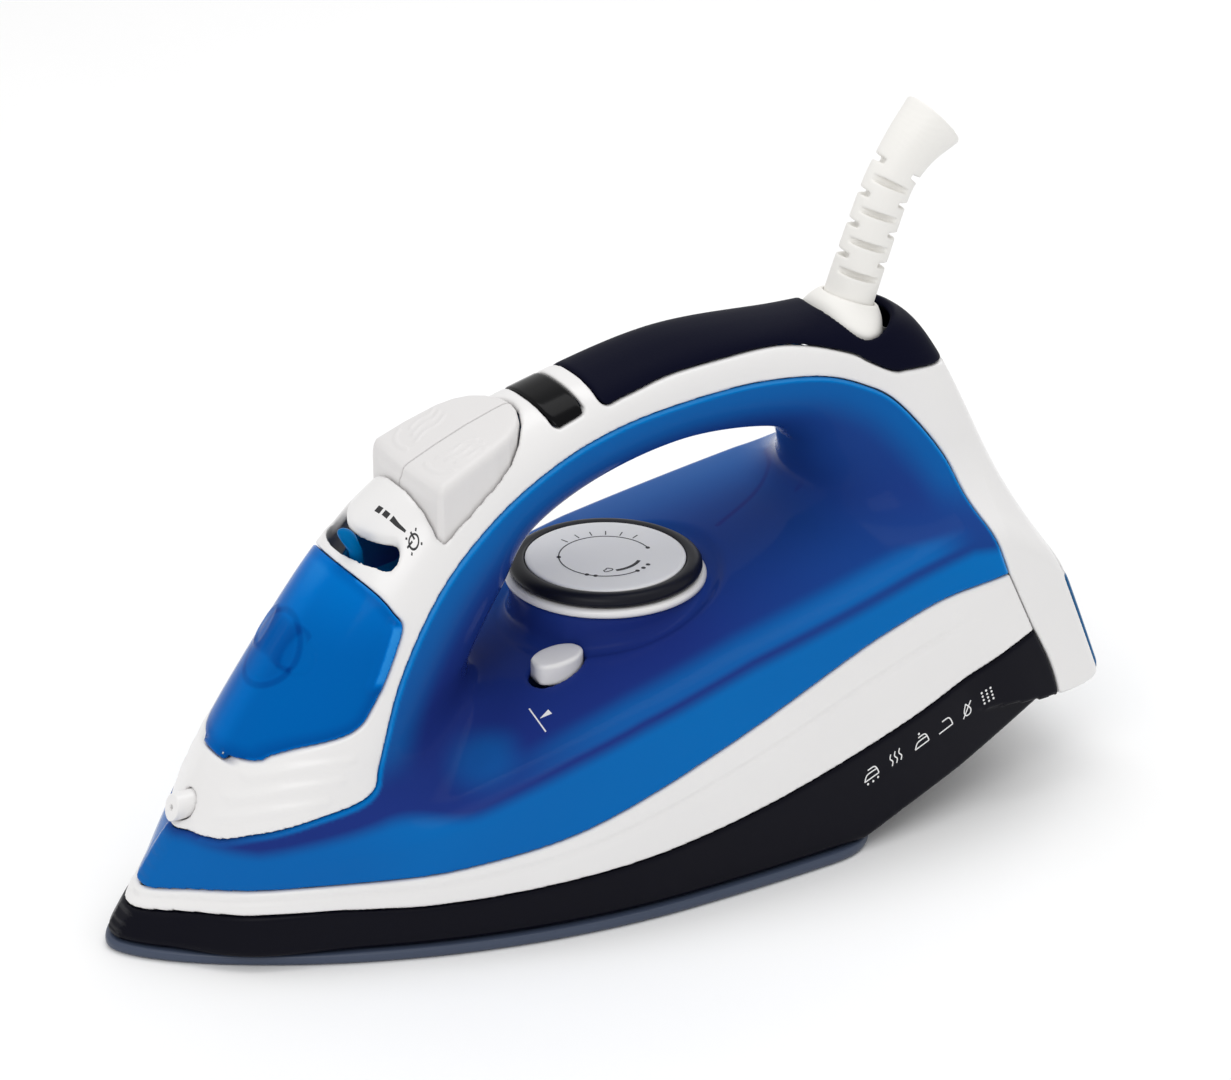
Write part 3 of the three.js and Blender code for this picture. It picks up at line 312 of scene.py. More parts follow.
def clear_blue(name, shade_colour, lit_colour, edge, weight, rough=0.09):
    """Tinted clear plastic whose colour follows the painted light and shade in the mesh's tone attribute: 0 painted
    shade, 1 lit colour, 2 painted highlight.
    """
    m, nt, b = shader(name, lit_colour, rough, Transmission_Weight=weight, IOR=1.10, Specular_IOR_Level=0.45)
    detail(nt, b, lit_colour, rough, tone=0, rough_spread=0.02, bump=0)
    n, l = nt.nodes, nt.links
    tone = n.new("ShaderNodeAttribute")
    tone.attribute_name = "tone"
    ramp = n.new("ShaderNodeValToRGB")
    ramp.color_ramp.elements[0].color = (*shade_colour, 1)
    ramp.color_ramp.elements[1].color = (*edge, 1)
    ramp.color_ramp.elements.new(0.5).color = (*lit_colour, 1)
    cloud = n.new("ShaderNodeTexNoise")
    cloud.inputs["Scale"].default_value = 14
    cloud.inputs["Detail"].default_value = 2
    drift = n.new("ShaderNodeMath")
    drift.operation = "MULTIPLY_ADD"
    drift.inputs[1].default_value = TONE_DRIFT
    l.new(n.new("ShaderNodeTexCoord").outputs["Object"], cloud.inputs["Vector"])
    l.new(cloud.outputs["Fac"], drift.inputs[0])
    l.new(tone.outputs["Fac"], drift.inputs[2])
    l.new(drift.outputs["Value"], ramp.inputs["Fac"])
    l.new(ramp.outputs["Color"], b.inputs["Base Color"])
    return m


def paint_light_and_shade(o, rule):
    """Stores half of rule(x, y, z), the painted light and shade, taken in millimetres, on the vertices of o, less
    half of the cloud's drift.
    """
    co = np.empty(len(o.data.vertices) * 3, np.float32)
    o.data.vertices.foreach_get("co", co)
    x, y, z = (co.reshape(-1, 3) / MM).T
    value = np.broadcast_to(rule(x, y, z), x.shape).astype(np.float32)
    value = np.clip(value / 2 - TONE_DRIFT / 2, 0, 1)
    o.data.attributes.new("tone", "FLOAT", "POINT").data.foreach_set("value", value)
    return o


# each clear plastic below: a painted-shade colour, a lit colour and a painted-highlight colour, then the transmission
# weight
TANK = clear_blue("tank_blue", (0.018, 0.018, 0.18), (0.0, 0.20, 0.61), (0.10, 0.42, 0.90), 0.14)
LID_BLUE = clear_blue("lid_blue", (0.0, 0.04, 0.24), (0.0, 0.18, 0.62), (0.06, 0.42, 0.95), 0.16)
LEVER_BLUE = clear_blue("lever_blue", (0.0, 0.06, 0.22), (0.0, 0.15, 0.42), (0.05, 0.3, 0.7), 0.15, 0.14)


# ---------------------------------------------------------------- meshes
def add_mesh(name, points, faces, mat, normals=None):
    me = bpy.data.meshes.new(name)
    if isinstance(faces, np.ndarray):
        me.vertices.add(len(points))
        me.vertices.foreach_set("co", (np.asarray(points) * MM).astype(np.float32).ravel())
        me.loops.add(faces.size)
        me.loops.foreach_set("vertex_index", faces.astype(np.int32).ravel())
        me.polygons.add(len(faces))
        me.polygons.foreach_set("loop_start", np.arange(0, faces.size, faces.shape[1], dtype=np.int32))
        me.update(calc_edges=True)
    else:
        me.from_pydata((np.asarray(points) * MM).tolist(), [], faces)
    me.materials.append(mat)
    me.polygons.foreach_set("use_smooth", [True] * len(me.polygons))
    me.update()
    if normals is not None:
        me.normals_split_custom_set_from_vertices(normals)
    o = bpy.data.objects.new(name, me)
    bpy.context.scene.collection.objects.link(o)
    return o


def place(o, on="iron", slot=None, replaces=()):
    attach(o, on)
    if replaces:
        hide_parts(*replaces)
    return o


def sample(volume, at):
    """Trilinear look-up of a volume at index coordinates."""
    i = np.clip(at.astype(int), 0, np.array(volume.shape) - 2)
    f = at - i
    total = 0
    for dx in (0, 1):
        for dy in (0, 1):
            for dz in (0, 1):
                w = (np.abs(1 - dx - f[:, 0]) * np.abs(1 - dy - f[:, 1]) * np.abs(1 - dz - f[:, 2]))
                total = total + w * volume[i[:, 0] + dx, i[:, 1] + dy, i[:, 2] + dz]
    return total


def extract(name, g, f, mat):
    """The zero surface of the field f on the grid g as a mesh with the field's own normals."""
    f = np.broadcast_to(f, g.shape).astype(np.float32).copy()
    gradient = np.gradient(f)
    edge = 2.5 * g.h
    f = np.clip(f, -edge, edge)
    for axis in range(3):
        for end in (0, -1):
            rim = [slice(None)] * 3
            rim[axis] = end
            f[tuple(rim)] = edge
    grid = vdb.FloatGrid(edge)
    grid.copyFromArray(f)
    points, quads = grid.convertToQuads(0.0)
    points = np.asarray(points, float)
    normals = np.stack([sample(v, points) for v in gradient], 1)
    normals /= np.linalg.norm(normals, axis=1)[:, None] + 1e-12
    quads = np.asarray(quads)
    a, b, c = points[quads[:, 0]], points[quads[:, 1]], points[quads[:, 2]]
    facing = (np.cross(b - a, c - b) * normals[quads[:, 0]]).sum()
    if facing < 0:
        quads = quads[:, ::-1]
    return add_mesh(name, points * g.h + np.array(g.lo), quads, mat, normals)


def revolve(name, profile, centre, mat, axis=(0, 0, 1), sides=96):
    """A turned piece: profile is rows of (radius, height along the axis)."""
    profile = np.asarray(profile, float)
    w = np.array(axis, float) / np.linalg.norm(axis)
    u = np.cross(w, (0, 1, 0) if abs(w[1]) < 0.9 else (1, 0, 0))
    u /= np.linalg.norm(u)
    v = np.cross(w, u)
    angle = np.linspace(0, 2 * math.pi, sides, endpoint=False)
    ring = np.cos(angle)[:, None] * u + np.sin(angle)[:, None] * v
    points = [np.array(centre) + h * w + r * ring for r, h in profile if r > 1e-6]
    flat = [p for block in points for p in block]
    faces = []
    poles = [(len(flat), profile[0]), (len(flat) + 1, profile[-1])]
    for _, (r, h) in poles:
        flat.append(np.array(centre) + h * w)
    rows = len(points)
    for i in range(rows - 1):
        for j in range(sides):
            k = (j + 1) % sides
            faces.append((i * sides + j, i * sides + k, (i + 1) * sides + k, (i + 1) * sides + j))
    for j in range(sides):
        k = (j + 1) % sides
        faces.append((poles[0][0], k, j))
        faces.append((poles[1][0], (rows - 1) * sides + j, (rows - 1) * sides + k))
    return add_mesh(name, flat, faces, mat)


# ---------------------------------------------------------------- the body shells
GAP = 0.15  # kept round each opening in the frame
H = 0.62
G = Box((-148, -63, -1), (148, 63, 146), H)
BODY = body(G)
X2, Z2 = G.x, G.z


def outline(region):
    """A region's signed distance on the main grid, constant across the body."""
    return polygon_sdf(region, X2, Z2)


def crop(lo, hi):
    """Part of the main grid, with the matching slices."""
    part = []
    for a, b, low, axis in zip(lo, hi, G.lo, (G.x, G.y, G.z)):
        n = axis.size
        part.append(slice(max(int((a - low) / H), 0), min(int((b - low) / H) + 2, n)))
    g = Box.__new__(Box)
    g.h = H
    g.x, g.y, g.z = G.x[part[0]], G.y[:, part[1]], G.z[:, :, part[2]]
    g.lo = [g.x.flat[0], g.y.flat[0], g.z.flat[0]]
    g.shape = (g.x.size, g.y.size, g.z.size)
    return g, tuple(part)


def shell(f):
    """A hollow wall just inside the surface f."""
    return smax(f, -(f + WALL), 0.6)


def round_y(g, x, z):
    """Distance from a line along Y through (x, z)."""
    return np.sqrt((g.x - x) ** 2 + (g.z - z) ** 2)


DIAL_X = 6.4


def dial_bowl(g, f):
    """A round pedestal under the dial, in a shallow oval dish in the deck."""
    r = np.sqrt((g.x - DIAL_X) ** 2 + g.y**2)
    dish = np.sqrt((g.x - DIAL_X - 1.0) ** 2 + g.y**2) - 29.6
    f = smax(f, -smax(smax(dish, np.abs(g.z - 72) - 11, 1.0), -(f + 1.3), 2.5), 3.0)
    pedestal = smax(r - 26.2, g.z - 71.5, 1.2)
    pedestal = smax(pedestal, 55 - g.z, 1.0)
    return smin(f, pedestal, 4.0)


CLEAN = (-20.4, -20.6)
CLEAN_OUTLINE = spline([(7.6, 0), (6.2, 3.4), (2.4, 5.2), (-2.6, 5), (-6.2, 2.8), (-7.3, -0.6), (-5.6, -3.8),
                        (-1.4, -5.2), (3.2, -4.8), (6.4, -2.8)], 5, closed=True) + CLEAN

tank_outer = dial_bowl(G, BODY)
tank = shell(tank_outer)
tank = smax(tank, outline(TANK_REGION) + SEAM, 0.9)
r_dial = np.sqrt((G.x - DIAL_X) ** 2 + G.y**2)
tank = np.maximum(tank, 3.8 - r_dial)
clean_hole = polygon_sdf(CLEAN_OUTLINE, G.x[:, :, 0], G.y[:, :, 0])[:, :, None]
tank = smax(tank, 0.5 - np.maximum(clean_hole, np.abs(G.z - 58) - 13), 0.6)


DECK_LINES = [spline([(43, 2), (57, 8), (68, 16), (74, 27)]), spline([(66, -2), (73, -10), (80, -22)])]


def tank_painted_light(x, y, z):
    """Painted light and shade: lit along the sides and the outer edge of the handle, painted shade on the deck and in
    the hollows, with painted highlights along the frame seam, the ridge and a spot on the front deck.
    """
    ridge = np.interp(x, *RIDGE) + 6 * smooth(-55, -80, x)
    # painted light: the side band below the ridge is lit, more so toward the rear
    side = 1 - smooth(-5.5, -0.5, z - ridge)
    side = side * (0.66 + 0.30 * smooth(-110, 0, x)) * (0.8 + 0.2 * smooth(52, 40, np.abs(y)))
    edge = line_distance(FRAME_SEAM, x, z)
    # painted light on the handle's arch: lighter near the frame seam and higher up
    on_arch = smooth(2, 14, z - ridge)
    arch = 0.10 + 0.36 * smooth(14, 2.5, edge) + 0.14 * smooth(60, 110, z)
    # painted shade on the deck, lighter toward the rear and the far side
    deck = 0.12 + 0.12 * smooth(0, 70, x) + 0.28 * smooth(-4, 36, y)
    # painted highlight: a soft spot on the front of the deck
    deck = deck + 0.36 * smooth(13, 3, np.hypot(x + 50, y + 34)) * smooth(30, 50, z)
    for line in DECK_LINES:
        deck = deck - 0.22 * (1 - smooth(0.3, 1.1, line_distance(line, x, y)))
    # painted highlight: a thin bright line along the frame seam at the nose
    rim = 0.75 * smooth(1.5, 0.5, edge) * smooth(-130, -90, x) * (np.abs(y) > 9)
    # painted highlight: a strip along the near ridge
    ridge_highlight = 0.4 * smooth(2.4, 0.8, np.abs(z - ridge - 0.6)) * smooth(-60, -15, x) * smooth(98, 80, x) * (y < 0)
    return np.maximum(side, on_arch * arch + (1 - on_arch) * deck) + rim + ridge_highlight


place(paint_light_and_shade(extract("tank_shell", G, tank, TANK), tank_painted_light), slot="tank_blue", replaces=["water_tank"])

band_top = np.interp(G.x, BAND_SEAM[:, 0], BAND_SEAM[:, 1])
band_low = np.interp(G.x, SKIRT_SEAM[:, 0], SKIRT_SEAM[:, 1])
groove = np.abs(G.z - band_top + 0.36 * (band_top - band_low))
groove = 0.4 * (1 - smooth(0.15, 0.9, groove)) * smooth(100, 80, G.x)
band = smax(shell(BODY + groove), outline(BAND_REGION) + SEAM, 0.9)
place(extract("band_shell", G, band, WHITE), slot="white_abs", replaces=["lower_band"])

skirt = smax(shell(BODY), outline(SKIRT_REGION) + SEAM, 0.9)
place(extract("skirt_shell", G, skirt, SKIRT), slot="black_skirt", replaces=["heat_shield"])

# The white frame, with the holes for the buttons, the lever, the lid, the window and the grip.
BUTTON_HALF = [(-55.3, 0), (-55, 8), (-53.6, 18.2), (-52.4, 19.4), (-44.3, 18.5), (-35.7, 17.1), (-31, 15.6),
               (-27.4, 13), (-24.4, 9), (-22.4, 4), (-21.9, 0)]
BUTTON_PLAN = join(BUTTON_HALF, [(x, -y) for x, y in BUTTON_HALF[::-1][1:-1]])
BUTTON_SIDE = [(-62, 99), (-62, 115.5), (-55, 115.5), (-54.2, 117.2), (-52.4, 118.2), (-44.3, 121.8), (-35.7, 125.2),
               (-27, 128), (-21, 129.6), (-18, 129.6), (-18, 117), (-38, 99)]
BUTTON_PAD = [(-62, 90), (-62, 105.4), (-38, 105.4), (-21, 121), (-18, 117), (-18, 90)]
VALVE_X, LEVER_R, LEVER_REST = -51.0, 20.2, math.radians(15)


def lever_slot(g):
    angle = np.clip(np.arctan2(g.y, -(g.x - VALVE_X)), -math.radians(44), math.radians(44))
    cx, cy = VALVE_X - LEVER_R * np.cos(angle), LEVER_R * np.sin(angle)
    return np.sqrt((g.x - cx) ** 2 + (g.y - cy) ** 2) - 2.7


NOSE_RIDGES = [[(-108.4, 48), (-97.1, 51.3), (-84.7, 52.7)], [(-112.9, 42), (-101.4, 45.9), (-87.9, 47.9)],
               [(-116.9, 36.7), (-105.7, 40.5), (-92.2, 42.8)]]
NOZZLE = (-116.5, 0.0, 36.0)
HINGE, BARREL_R = (-110.2, 50.9), 1.6  # the lid turns about this line; its barrel lies in the frame's channel
CHANNEL_R = 1.9
PIN, PIN_HALF = (-109.9, 50.7), 5.2

frame_outer = BODY
for ridge in NOSE_RIDGES:
    near = line_distance(spline(ridge), X2, Z2)
    frame_outer = frame_outer - 0.35 * (1 - smooth(0.2, 1.6, near)) * smooth(9, 13, np.abs(G.y))
white = shell(frame_outer)
white = smax(white, outline(FRAME_REGION) + SEAM, 0.9)
for hole, soft in ((GRIP_REGION, 0.8), (WINDOW, 0.6), (LID, 0.8), (COVER_REGION, 0.5), (HEEL_REGION, 0.5)):
    white = smax(white, GAP - outline(hole), soft)
plan = polygon_sdf(BUTTON_PLAN, G.x[:, :, 0], G.y[:, :, 0])[:, :, None]
white = smax(white, 0.45 - np.maximum(plan, 94 - G.z), 0.8)
white = smax(white, -np.maximum(lever_slot(G), 86 - G.z), 0.8)
white = smax(white, -np.maximum(round_y(G, *HINGE) - CHANNEL_R, np.abs(G.y) - 11), 0.4)
bore = np.maximum(np.sqrt(G.y**2 + (G.z - NOZZLE[2]) ** 2) - 3.9, np.abs(G.x - NOZZLE[0]) - 12)
white = smax(white, -bore, 0.5)
place(extract("frame_shell", G, white, WHITE), slot="white_abs", replaces=["upper_frame"])

g, part = crop((95, -50, 55), (148, 50, 128))
cover = smax(shell(BODY[part]), polygon_sdf(COVER_REGION, g.x, g.z), 0.6)
cover = smax(cover, GAP - polygon_sdf(GRIP_REGION, g.x, g.z), 0.6)
place(extract("rear_panel", g, cover, WHITE), slot="white_abs", replaces=["rear_cover"])

g, part = crop((120, -48, 20), (148, 48, 64))
heel = smax(BODY[part], polygon_sdf(HEEL_REGION, g.x, g.z), 0.8)
RIB_PITCH = 9.0
ribs = 0.5 * (1 - smooth(0.25, 0.8, np.abs((g.y / RIB_PITCH) % 1 - 0.5) * RIB_PITCH))
heel = smax(heel, ribs + (g.x - rear_x(g.z)) * REAR_NORMAL_X, 0.5)
place(extract("heel_pad", g, heel, HEEL), slot="heel_blue", replaces=["heel_plate"])

# ---------------------------------------------------------------- grip and window
GUARD = np.array([79.5, 129.0])
LEAN = math.radians(20)
AXIS = np.array([math.sin(LEAN), math.cos(LEAN)])
ACROSS = np.array([math.cos(LEAN), -math.sin(LEAN)])


def guard_frame(g):
    """Height along the guard's axis and the offset across it, from an XZ point."""
    return ((g.x - GUARD[0]) * AXIS[0] + (g.z - GUARD[1]) * AXIS[1],
            (g.x - GUARD[0]) * ACROSS[0] + (g.z - GUARD[1]) * ACROSS[1])


h_grip = 0.6
g = Box((-16, -21, 115), (112, 21, 142), h_grip)
grip = smax(shell(body(g)), polygon_sdf(GRIP_REGION, g.x, g.z) + SEAM, 1.1)
up, across = guard_frame(g)
scoop = (np.sqrt((across / 10.9) ** 2 + (g.y / 14.9) ** 2) - 1) * 12
grip = smax(grip, -np.maximum(scoop, -12 - up), 1.2)
place(extract("grip_shell", g, grip, GRIP), slot="navy_grip", replaces=["handle_grip"])

h_fine = 0.4
g = Box((-26, -18, 120), (-8, 18, 135), h_fine)
pane = smax(shell(body(g)), polygon_sdf(WINDOW, g.x, g.z) + SEAM, 0.9)
place(extract("window_pane", g, pane, PIANO), slot="gloss_black", replaces=["indicator_window"])

# ---------------------------------------------------------------- filler lid
LID_ALONG = (0.577, 0.816)  # unit vector up the lid's slope, in XZ
TAB = [(-69.0, 86.6), (-67.2, 84.5), (-69.4, 79), (-74.8, 70.2), (-76.3, 69), (-78.2, 70.3), (-73.5, 78.5),
       (-71.6, 83)]
g = Box((-114, -30, 46), (-64, 30, 100), 0.55)
form = body(g)
tab = polygon_sdf(spline(TAB, 4, closed=True), g.x, g.z)
form = form - 0.9 * (1 - smooth(-0.6, 0.9, tab)) * smooth(14, 18, np.abs(g.y))
drop = spline([(-94.6, 73.0), (-92.0, 77.5), (-87.5, 82.0), (-87.8, 77.5), (-90.6, 73.6)], 6, closed=True)
near = np.abs(polygon_sdf(drop, g.x, g.z))
form = form - 0.28 * (1 - smooth(0.2, 0.75, near)) * smooth(1.0, 2.5, np.abs(g.y))
lid = smax(shell(form), polygon_sdf(LID, g.x, g.z) + SEAM, 0.8)
knuckle = smax(round_y(g, *HINGE) - BARREL_R, np.abs(g.y) - 6, 0.4)
knuckle = smax(knuckle, form + 0.1, 0.4)
pin_hole = np.minimum(0.75 - round_y(g, *PIN), PIN_HALF + 0.2 - np.abs(g.y))
below = -LID_ALONG[0] * (g.x - HINGE[0]) - LID_ALONG[1] * (g.z - HINGE[1])
barrel = np.minimum(below, round_y(g, *HINGE) - BARREL_R)
lid = smax(smax(smin(lid, knuckle, 0.6), barrel, 0.3), pin_hole, 0.2)


# painted light and shade on the lid: lighter toward the top, a painted highlight along the centre line, painted shade
# just inside the rim, a painted highlight on the rim and a painted glint on the tab; darker lines along a ring and
# along the drop mark
def lid_painted_light(x, y, z):
    rim = np.minimum(line_distance(LID[:-1], x, z), 14)
    along = (x + 92) * LID_ALONG[0] + (z - 74) * LID_ALONG[1]
    ring = np.hypot(along, y)
    mark = np.abs(polygon_sdf(drop, x, z)) + 9 * (np.abs(y) > 11)
    tone = 0.36 + 0.26 * smooth(1.0, 4.0, rim) + 0.5 * smooth(76, 104, z) + 0.2 * smooth(7, 1, np.abs(y))
    tone = tone - 0.30 * (1 - smooth(0.4, 1.3, np.abs(ring - 10.5))) - 0.12 * smooth(10.5, 8, ring)
    tone = tone - 0.25 * (1 - smooth(0.2, 0.9, mark))
    tab_glint = smooth(0.5, 1.0, rim) * smooth(3.2, 2.4, rim) * smooth(70, 72, z) * smooth(86, 84, z)
    return tone + (0.5 * smooth(1.3, 0.4, rim) + 0.95 * tab_glint) * (np.abs(y) > 12)


place(paint_light_and_shade(extract("lid_shell", g, lid, LID_BLUE), lid_painted_light), on="lid", slot="lid_blue", replaces=["filler_lid"])

# ---------------------------------------------------------------- buttons
ICON = [[(-47, 6.0), (-43.5, 7.5), (-40, 7.2), (-37, 9.0)], [(-46, 9.5), (-42.5, 10.8), (-39.5, 10.4), (-36.8, 12.2)],
        [(-45, 12.8), (-42, 13.8), (-39.4, 13.4), (-37.2, 14.6)], [(-50, 5.0), (-50.5, 9), (-49.5, 13), (-47, 15.4)]]
for name, side in (("spray", -1), ("burst", 1)):
    lo_y, hi_y = (-21, 1) if side < 0 else (-1, 21)
    g = Box((-57, lo_y, 98), (-20, hi_y, 131), h_fine)
    edge = polygon_sdf(BUTTON_PLAN, g.x[:, :, 0], g.y[:, :, 0])[:, :, None]
    top = polygon_sdf(BUTTON_SIDE, g.x, g.z)
    outer = smax(smax(edge, top, 2.6), 0.15 - side * g.y, 0.5)
    under = polygon_sdf(BUTTON_PAD, g.x, g.z)
    block = smax(outer, -smax(smax(edge + 1.7, under, 0.5), 1.9 - side * g.y, 0.5), 0.5)
    relief = np.full((g.x.size, g.y.size), 9.0)
    for stroke in ICON:
        relief = np.minimum(relief, line_distance(spline([(x, side * y) for x, y in stroke]),
                                                  g.x[:, :, 0], g.y[:, :, 0]))
    block = block - 0.3 * (1 - smooth(0.2, 0.8, relief))[:, :, None] * (g.z > 112)
    place(extract(name + "_key", g, block, BUTTON_WHITE), on=name, slot="white_abs", replaces=[name + "_button"])

# ---------------------------------------------------------------- steam lever
g = Box((-78, -18, 85), (-44, 8, 109), h_fine)
peg_x, peg_y = VALVE_X - LEVER_R * math.cos(LEVER_REST), -LEVER_R * math.sin(LEVER_REST)
t = np.clip((g.z - 89.5) / 16.9, 0, 1)
lean = 2.4 * t + 0.36 * np.maximum(g.z - 99.5, 0)
peg = np.sqrt((g.x - (peg_x + 1 - lean)) ** 2 + (g.y - (peg_y - 0.4 * t)) ** 2) - (1.8 + 0.45 * smooth(0.5, 0.9, t))
peg = smax(peg, np.maximum(g.z - 106.6, 88.9 - g.z), 2.6)
angle = np.arctan2(-g.y, -(g.x - VALVE_X)) - LEVER_REST
reach = np.sqrt((g.x - VALVE_X) ** 2 + g.y**2)
sweep = smax(np.abs(reach - 17.4) - 2.6, (np.abs(angle) - math.radians(33)) * 18, 0.6)
arm = smax(np.abs(angle) * reach - 3.0, np.maximum(reach - 18, 1.0 - reach), 0.6)
web = smax(smin(sweep, arm, 1.0), np.abs(g.z - 89.8) - 0.8, 0.4)
hub = smax(reach - 4.6, np.abs(g.z - 89) - 2, 0.5)
lever = smin(smin(web, hub, 0.8), peg, 1.0)
# painted light and shade: darker low down in the slot, lighter toward the top of the peg
place(paint_light_and_shade(extract("lever_paddle", g, lever, LEVER_BLUE), lambda x, y, z: 0.15 + 0.85 * smooth(91, 105, z)),
      on="steam_control", slot="lid_blue", replaces=["steam_lever"])

# ---------------------------------------------------------------- spray nozzle
g = Box((-128, -5, 30.5), (-104.5, 5, 41.5), 0.25)
radius = np.sqrt(g.y**2 + (g.z - NOZZLE[2]) ** 2)
slant = -(g.x + 120.5 + 0.3056 * (46 - g.z)) * 0.95
tip = smax(smax(radius - 3.6, slant, 0.5), g.x + 106.5, 0.3)
tip = smax(tip, 0.8 - radius, 0.2)
place(extract("nozzle_tip", g, tip, WHITE), slot="white_abs", replaces=["spray_nozzle"])

# ---------------------------------------------------------------- soleplate
g = Box((-146, -62, -1), (71, 62, 4.2), 0.6)
TAIL = 68.0  # the soleplate's rear end
px, py = [], []
for t in np.linspace(0, 1, 40, endpoint=False):
    px.append(-143.4 * (1 - (3 * (1 - t) * t * t * 0.444 + t**3)))
    py.append(59.4 * (3 * (1 - t) ** 2 * t * 0.241 + 3 * (1 - t) * t * t + t**3))
for i in range(33):
    u = math.sin(math.pi / 2 * i / 32) * TAIL
    corner = max(1 - max((u - TAIL + 26) / 26, 0) ** 3.2, 0) ** (1 / 3.2)
    px.append(u)
    py.append((58 * (1 - 0.283 * (u / HEEL_X) ** 2.2) + 1.4) * corner)
half_plan = np.stack([px, py], 1)
sole_plan = join(half_plan, half_plan[::-1][1:-1] * (1, -1))
edge = polygon_sdf(sole_plan, g.x[:, :, 0], g.y[:, :, 0])[:, :, None]
sole = smax(edge, np.abs(g.z - 1.5) - 1.5, 1.3)
holes = [(-126 + 30 * i, 0) for i in range(2)] + [(-114 + 21 * i, s * (5 + 6 * i)) for i in range(5) for s in (-1, 1)]
for hx, hy in holes:
    sole = smax(sole, 1.7 - np.sqrt((g.x - hx) ** 2 + (g.y - hy) ** 2), 0.8)
place(extract("sole", g, sole, SOLE), slot="sole_blue", replaces=["soleplate"])

# ---------------------------------------------------------------- dial
ring = [(20, 71.8), (26.8, 71.8), (27.3, 72.2), (27.4, 72.8), (27.2, 73.5), (26.6, 73.9), (20, 73.9), (20, 71.8)]
place(revolve("dial_ring", ring, (DIAL_X, 0, 0), WHITE), slot="white_abs", replaces=["dial_base_ring"])
knob = [(0, 74.3), (25.2, 74.3), (25.9, 74.6), (26.2, 75.3), (26.15, 76.1), (25.6, 76.9), (24.6, 77.5), (23.6, 77.7),
        (22.6, 77.6), (22.05, 77.4), (21.95, 77.05), (21.95, 76.9), (0, 76.9)]
place(revolve("dial_cap", knob, (DIAL_X, 0, 0), KNOB, sides=160), on="dial", slot="gloss_black",
      replaces=["dial_knob"])
plate = [(0, 76.95), (21.6, 76.95), (21.75, 77.1), (21.7, 77.45), (21.4, 77.65), (20.7, 77.72), (19.9, 77.62),
         (19.6, 77.5), (0, 77.5)]
place(revolve("dial_disc", plate, (DIAL_X, 0, 0), SILVER, sides=160), on="dial", slot="silver_disc",
      replaces=["dial_plate"])

# ---------------------------------------------------------------- printed marks
PRINT_TOP, PRINT_LOW = 0.07, -0.12  # a mark stands this far out of its surface and reaches this far in


def ribbon(line, width):
    """The left and right edges of a stroke along a polyline; width may vary along it."""
    line = np.asarray(line, float)
    t = np.gradient(line, axis=0)
    t /= np.linalg.norm(t, axis=1)[:, None] + 1e-9
    off = np.stack([-t[:, 1], t[:, 0]], 1) * np.broadcast_to(np.asarray(width, float) / 2, len(line))[:, None]
    return line + off, line - off


def disc(centre, r, sides=14):
    """A filled dot as a short ribbon, narrow at both ends."""
    a = np.linspace(-0.999, 0.999, sides)
    half = np.sqrt(1 - a**2) * r
    x = centre[0] + a * r
    return np.stack([x, centre[1] + half], 1), np.stack([x, centre[1] - half], 1)


def print_on(name, strokes, lay, mat, **how):
    """Lays strokes, drawn flat, on a surface: lay turns a flat point and a height into a point in space."""
    points, faces = [], []
    for left, right in strokes:
        n, first = len(left), len(points)
        for height in (PRINT_TOP, PRINT_LOW):
            points += [lay(*p, height) for p in left] + [lay(*p, height) for p in right]
        top_l, top_r, low_l, low_r = (first + k * n for k in range(4))
        for i in range(n - 1):
            faces += [(top_l + i, top_r + i, top_r + i + 1, top_l + i + 1),
                      (low_l + i, low_l + i + 1, low_r + i + 1, low_r + i),
                      (top_l + i, top_l + i + 1, low_l + i + 1, low_l + i),
                      (top_r + i, low_r + i, low_r + i + 1, top_r + i + 1)]
        for i in (0, n - 1):
            end = (top_l + i, low_l + i, low_r + i, top_r + i)
            faces.append(end if i == 0 else end[::-1])
    o = add_mesh(name, points, faces, mat)
    o.data.polygons.foreach_set("use_smooth", [False] * len(o.data.polygons))
    return place(o, **how)


def arc(r, start, stop, steps=40):
    a = np.radians(np.linspace(start, stop, steps))
    return np.stack([r * np.cos(a), r * np.sin(a)], 1)


def flat_on(z, x0=0.0, y0=0.0):
    return lambda a, b, height: (a + x0, b + y0, z + height)


DIAL_PRINTS = [ribbon(arc(12.6, -4, 283, 160), 0.32), ribbon(arc(9.4, 258, 313), 0.95)]
for degrees in (27, 43.4, 60, 76, 92, 109):
    c, n = math.cos(math.radians(degrees)), math.sin(math.radians(degrees))
    DIAL_PRINTS.append(ribbon([(13.6 * c, 13.6 * n), (15.9 * c, 15.9 * n)], 0.3))
for r, degrees in ((12.6, 153), (12.6, 217), (12.6, 228), (12.6, 283), (12.6, 294), (12.6, 305), (12.6, 355)):
    DIAL_PRINTS.append(disc((r * math.cos(math.radians(degrees)), r * math.sin(math.radians(degrees))), 0.62))
CLOUD = spline([(-5.0, -8.6), (-4.9, -7.6), (-4.2, -7.5), (-3.6, -6.9), (-2.9, -7.3), (-2.4, -8.0), (-2.9, -8.6),
                (-4.0, -8.7)], 5, closed=True)
DIAL_PRINTS.append(ribbon(np.vstack([CLOUD, CLOUD[:1]]), 0.28))
print_on("dial_scale", DIAL_PRINTS, flat_on(77.5, DIAL_X, 0), INK, on="dial", slot="gloss_black")


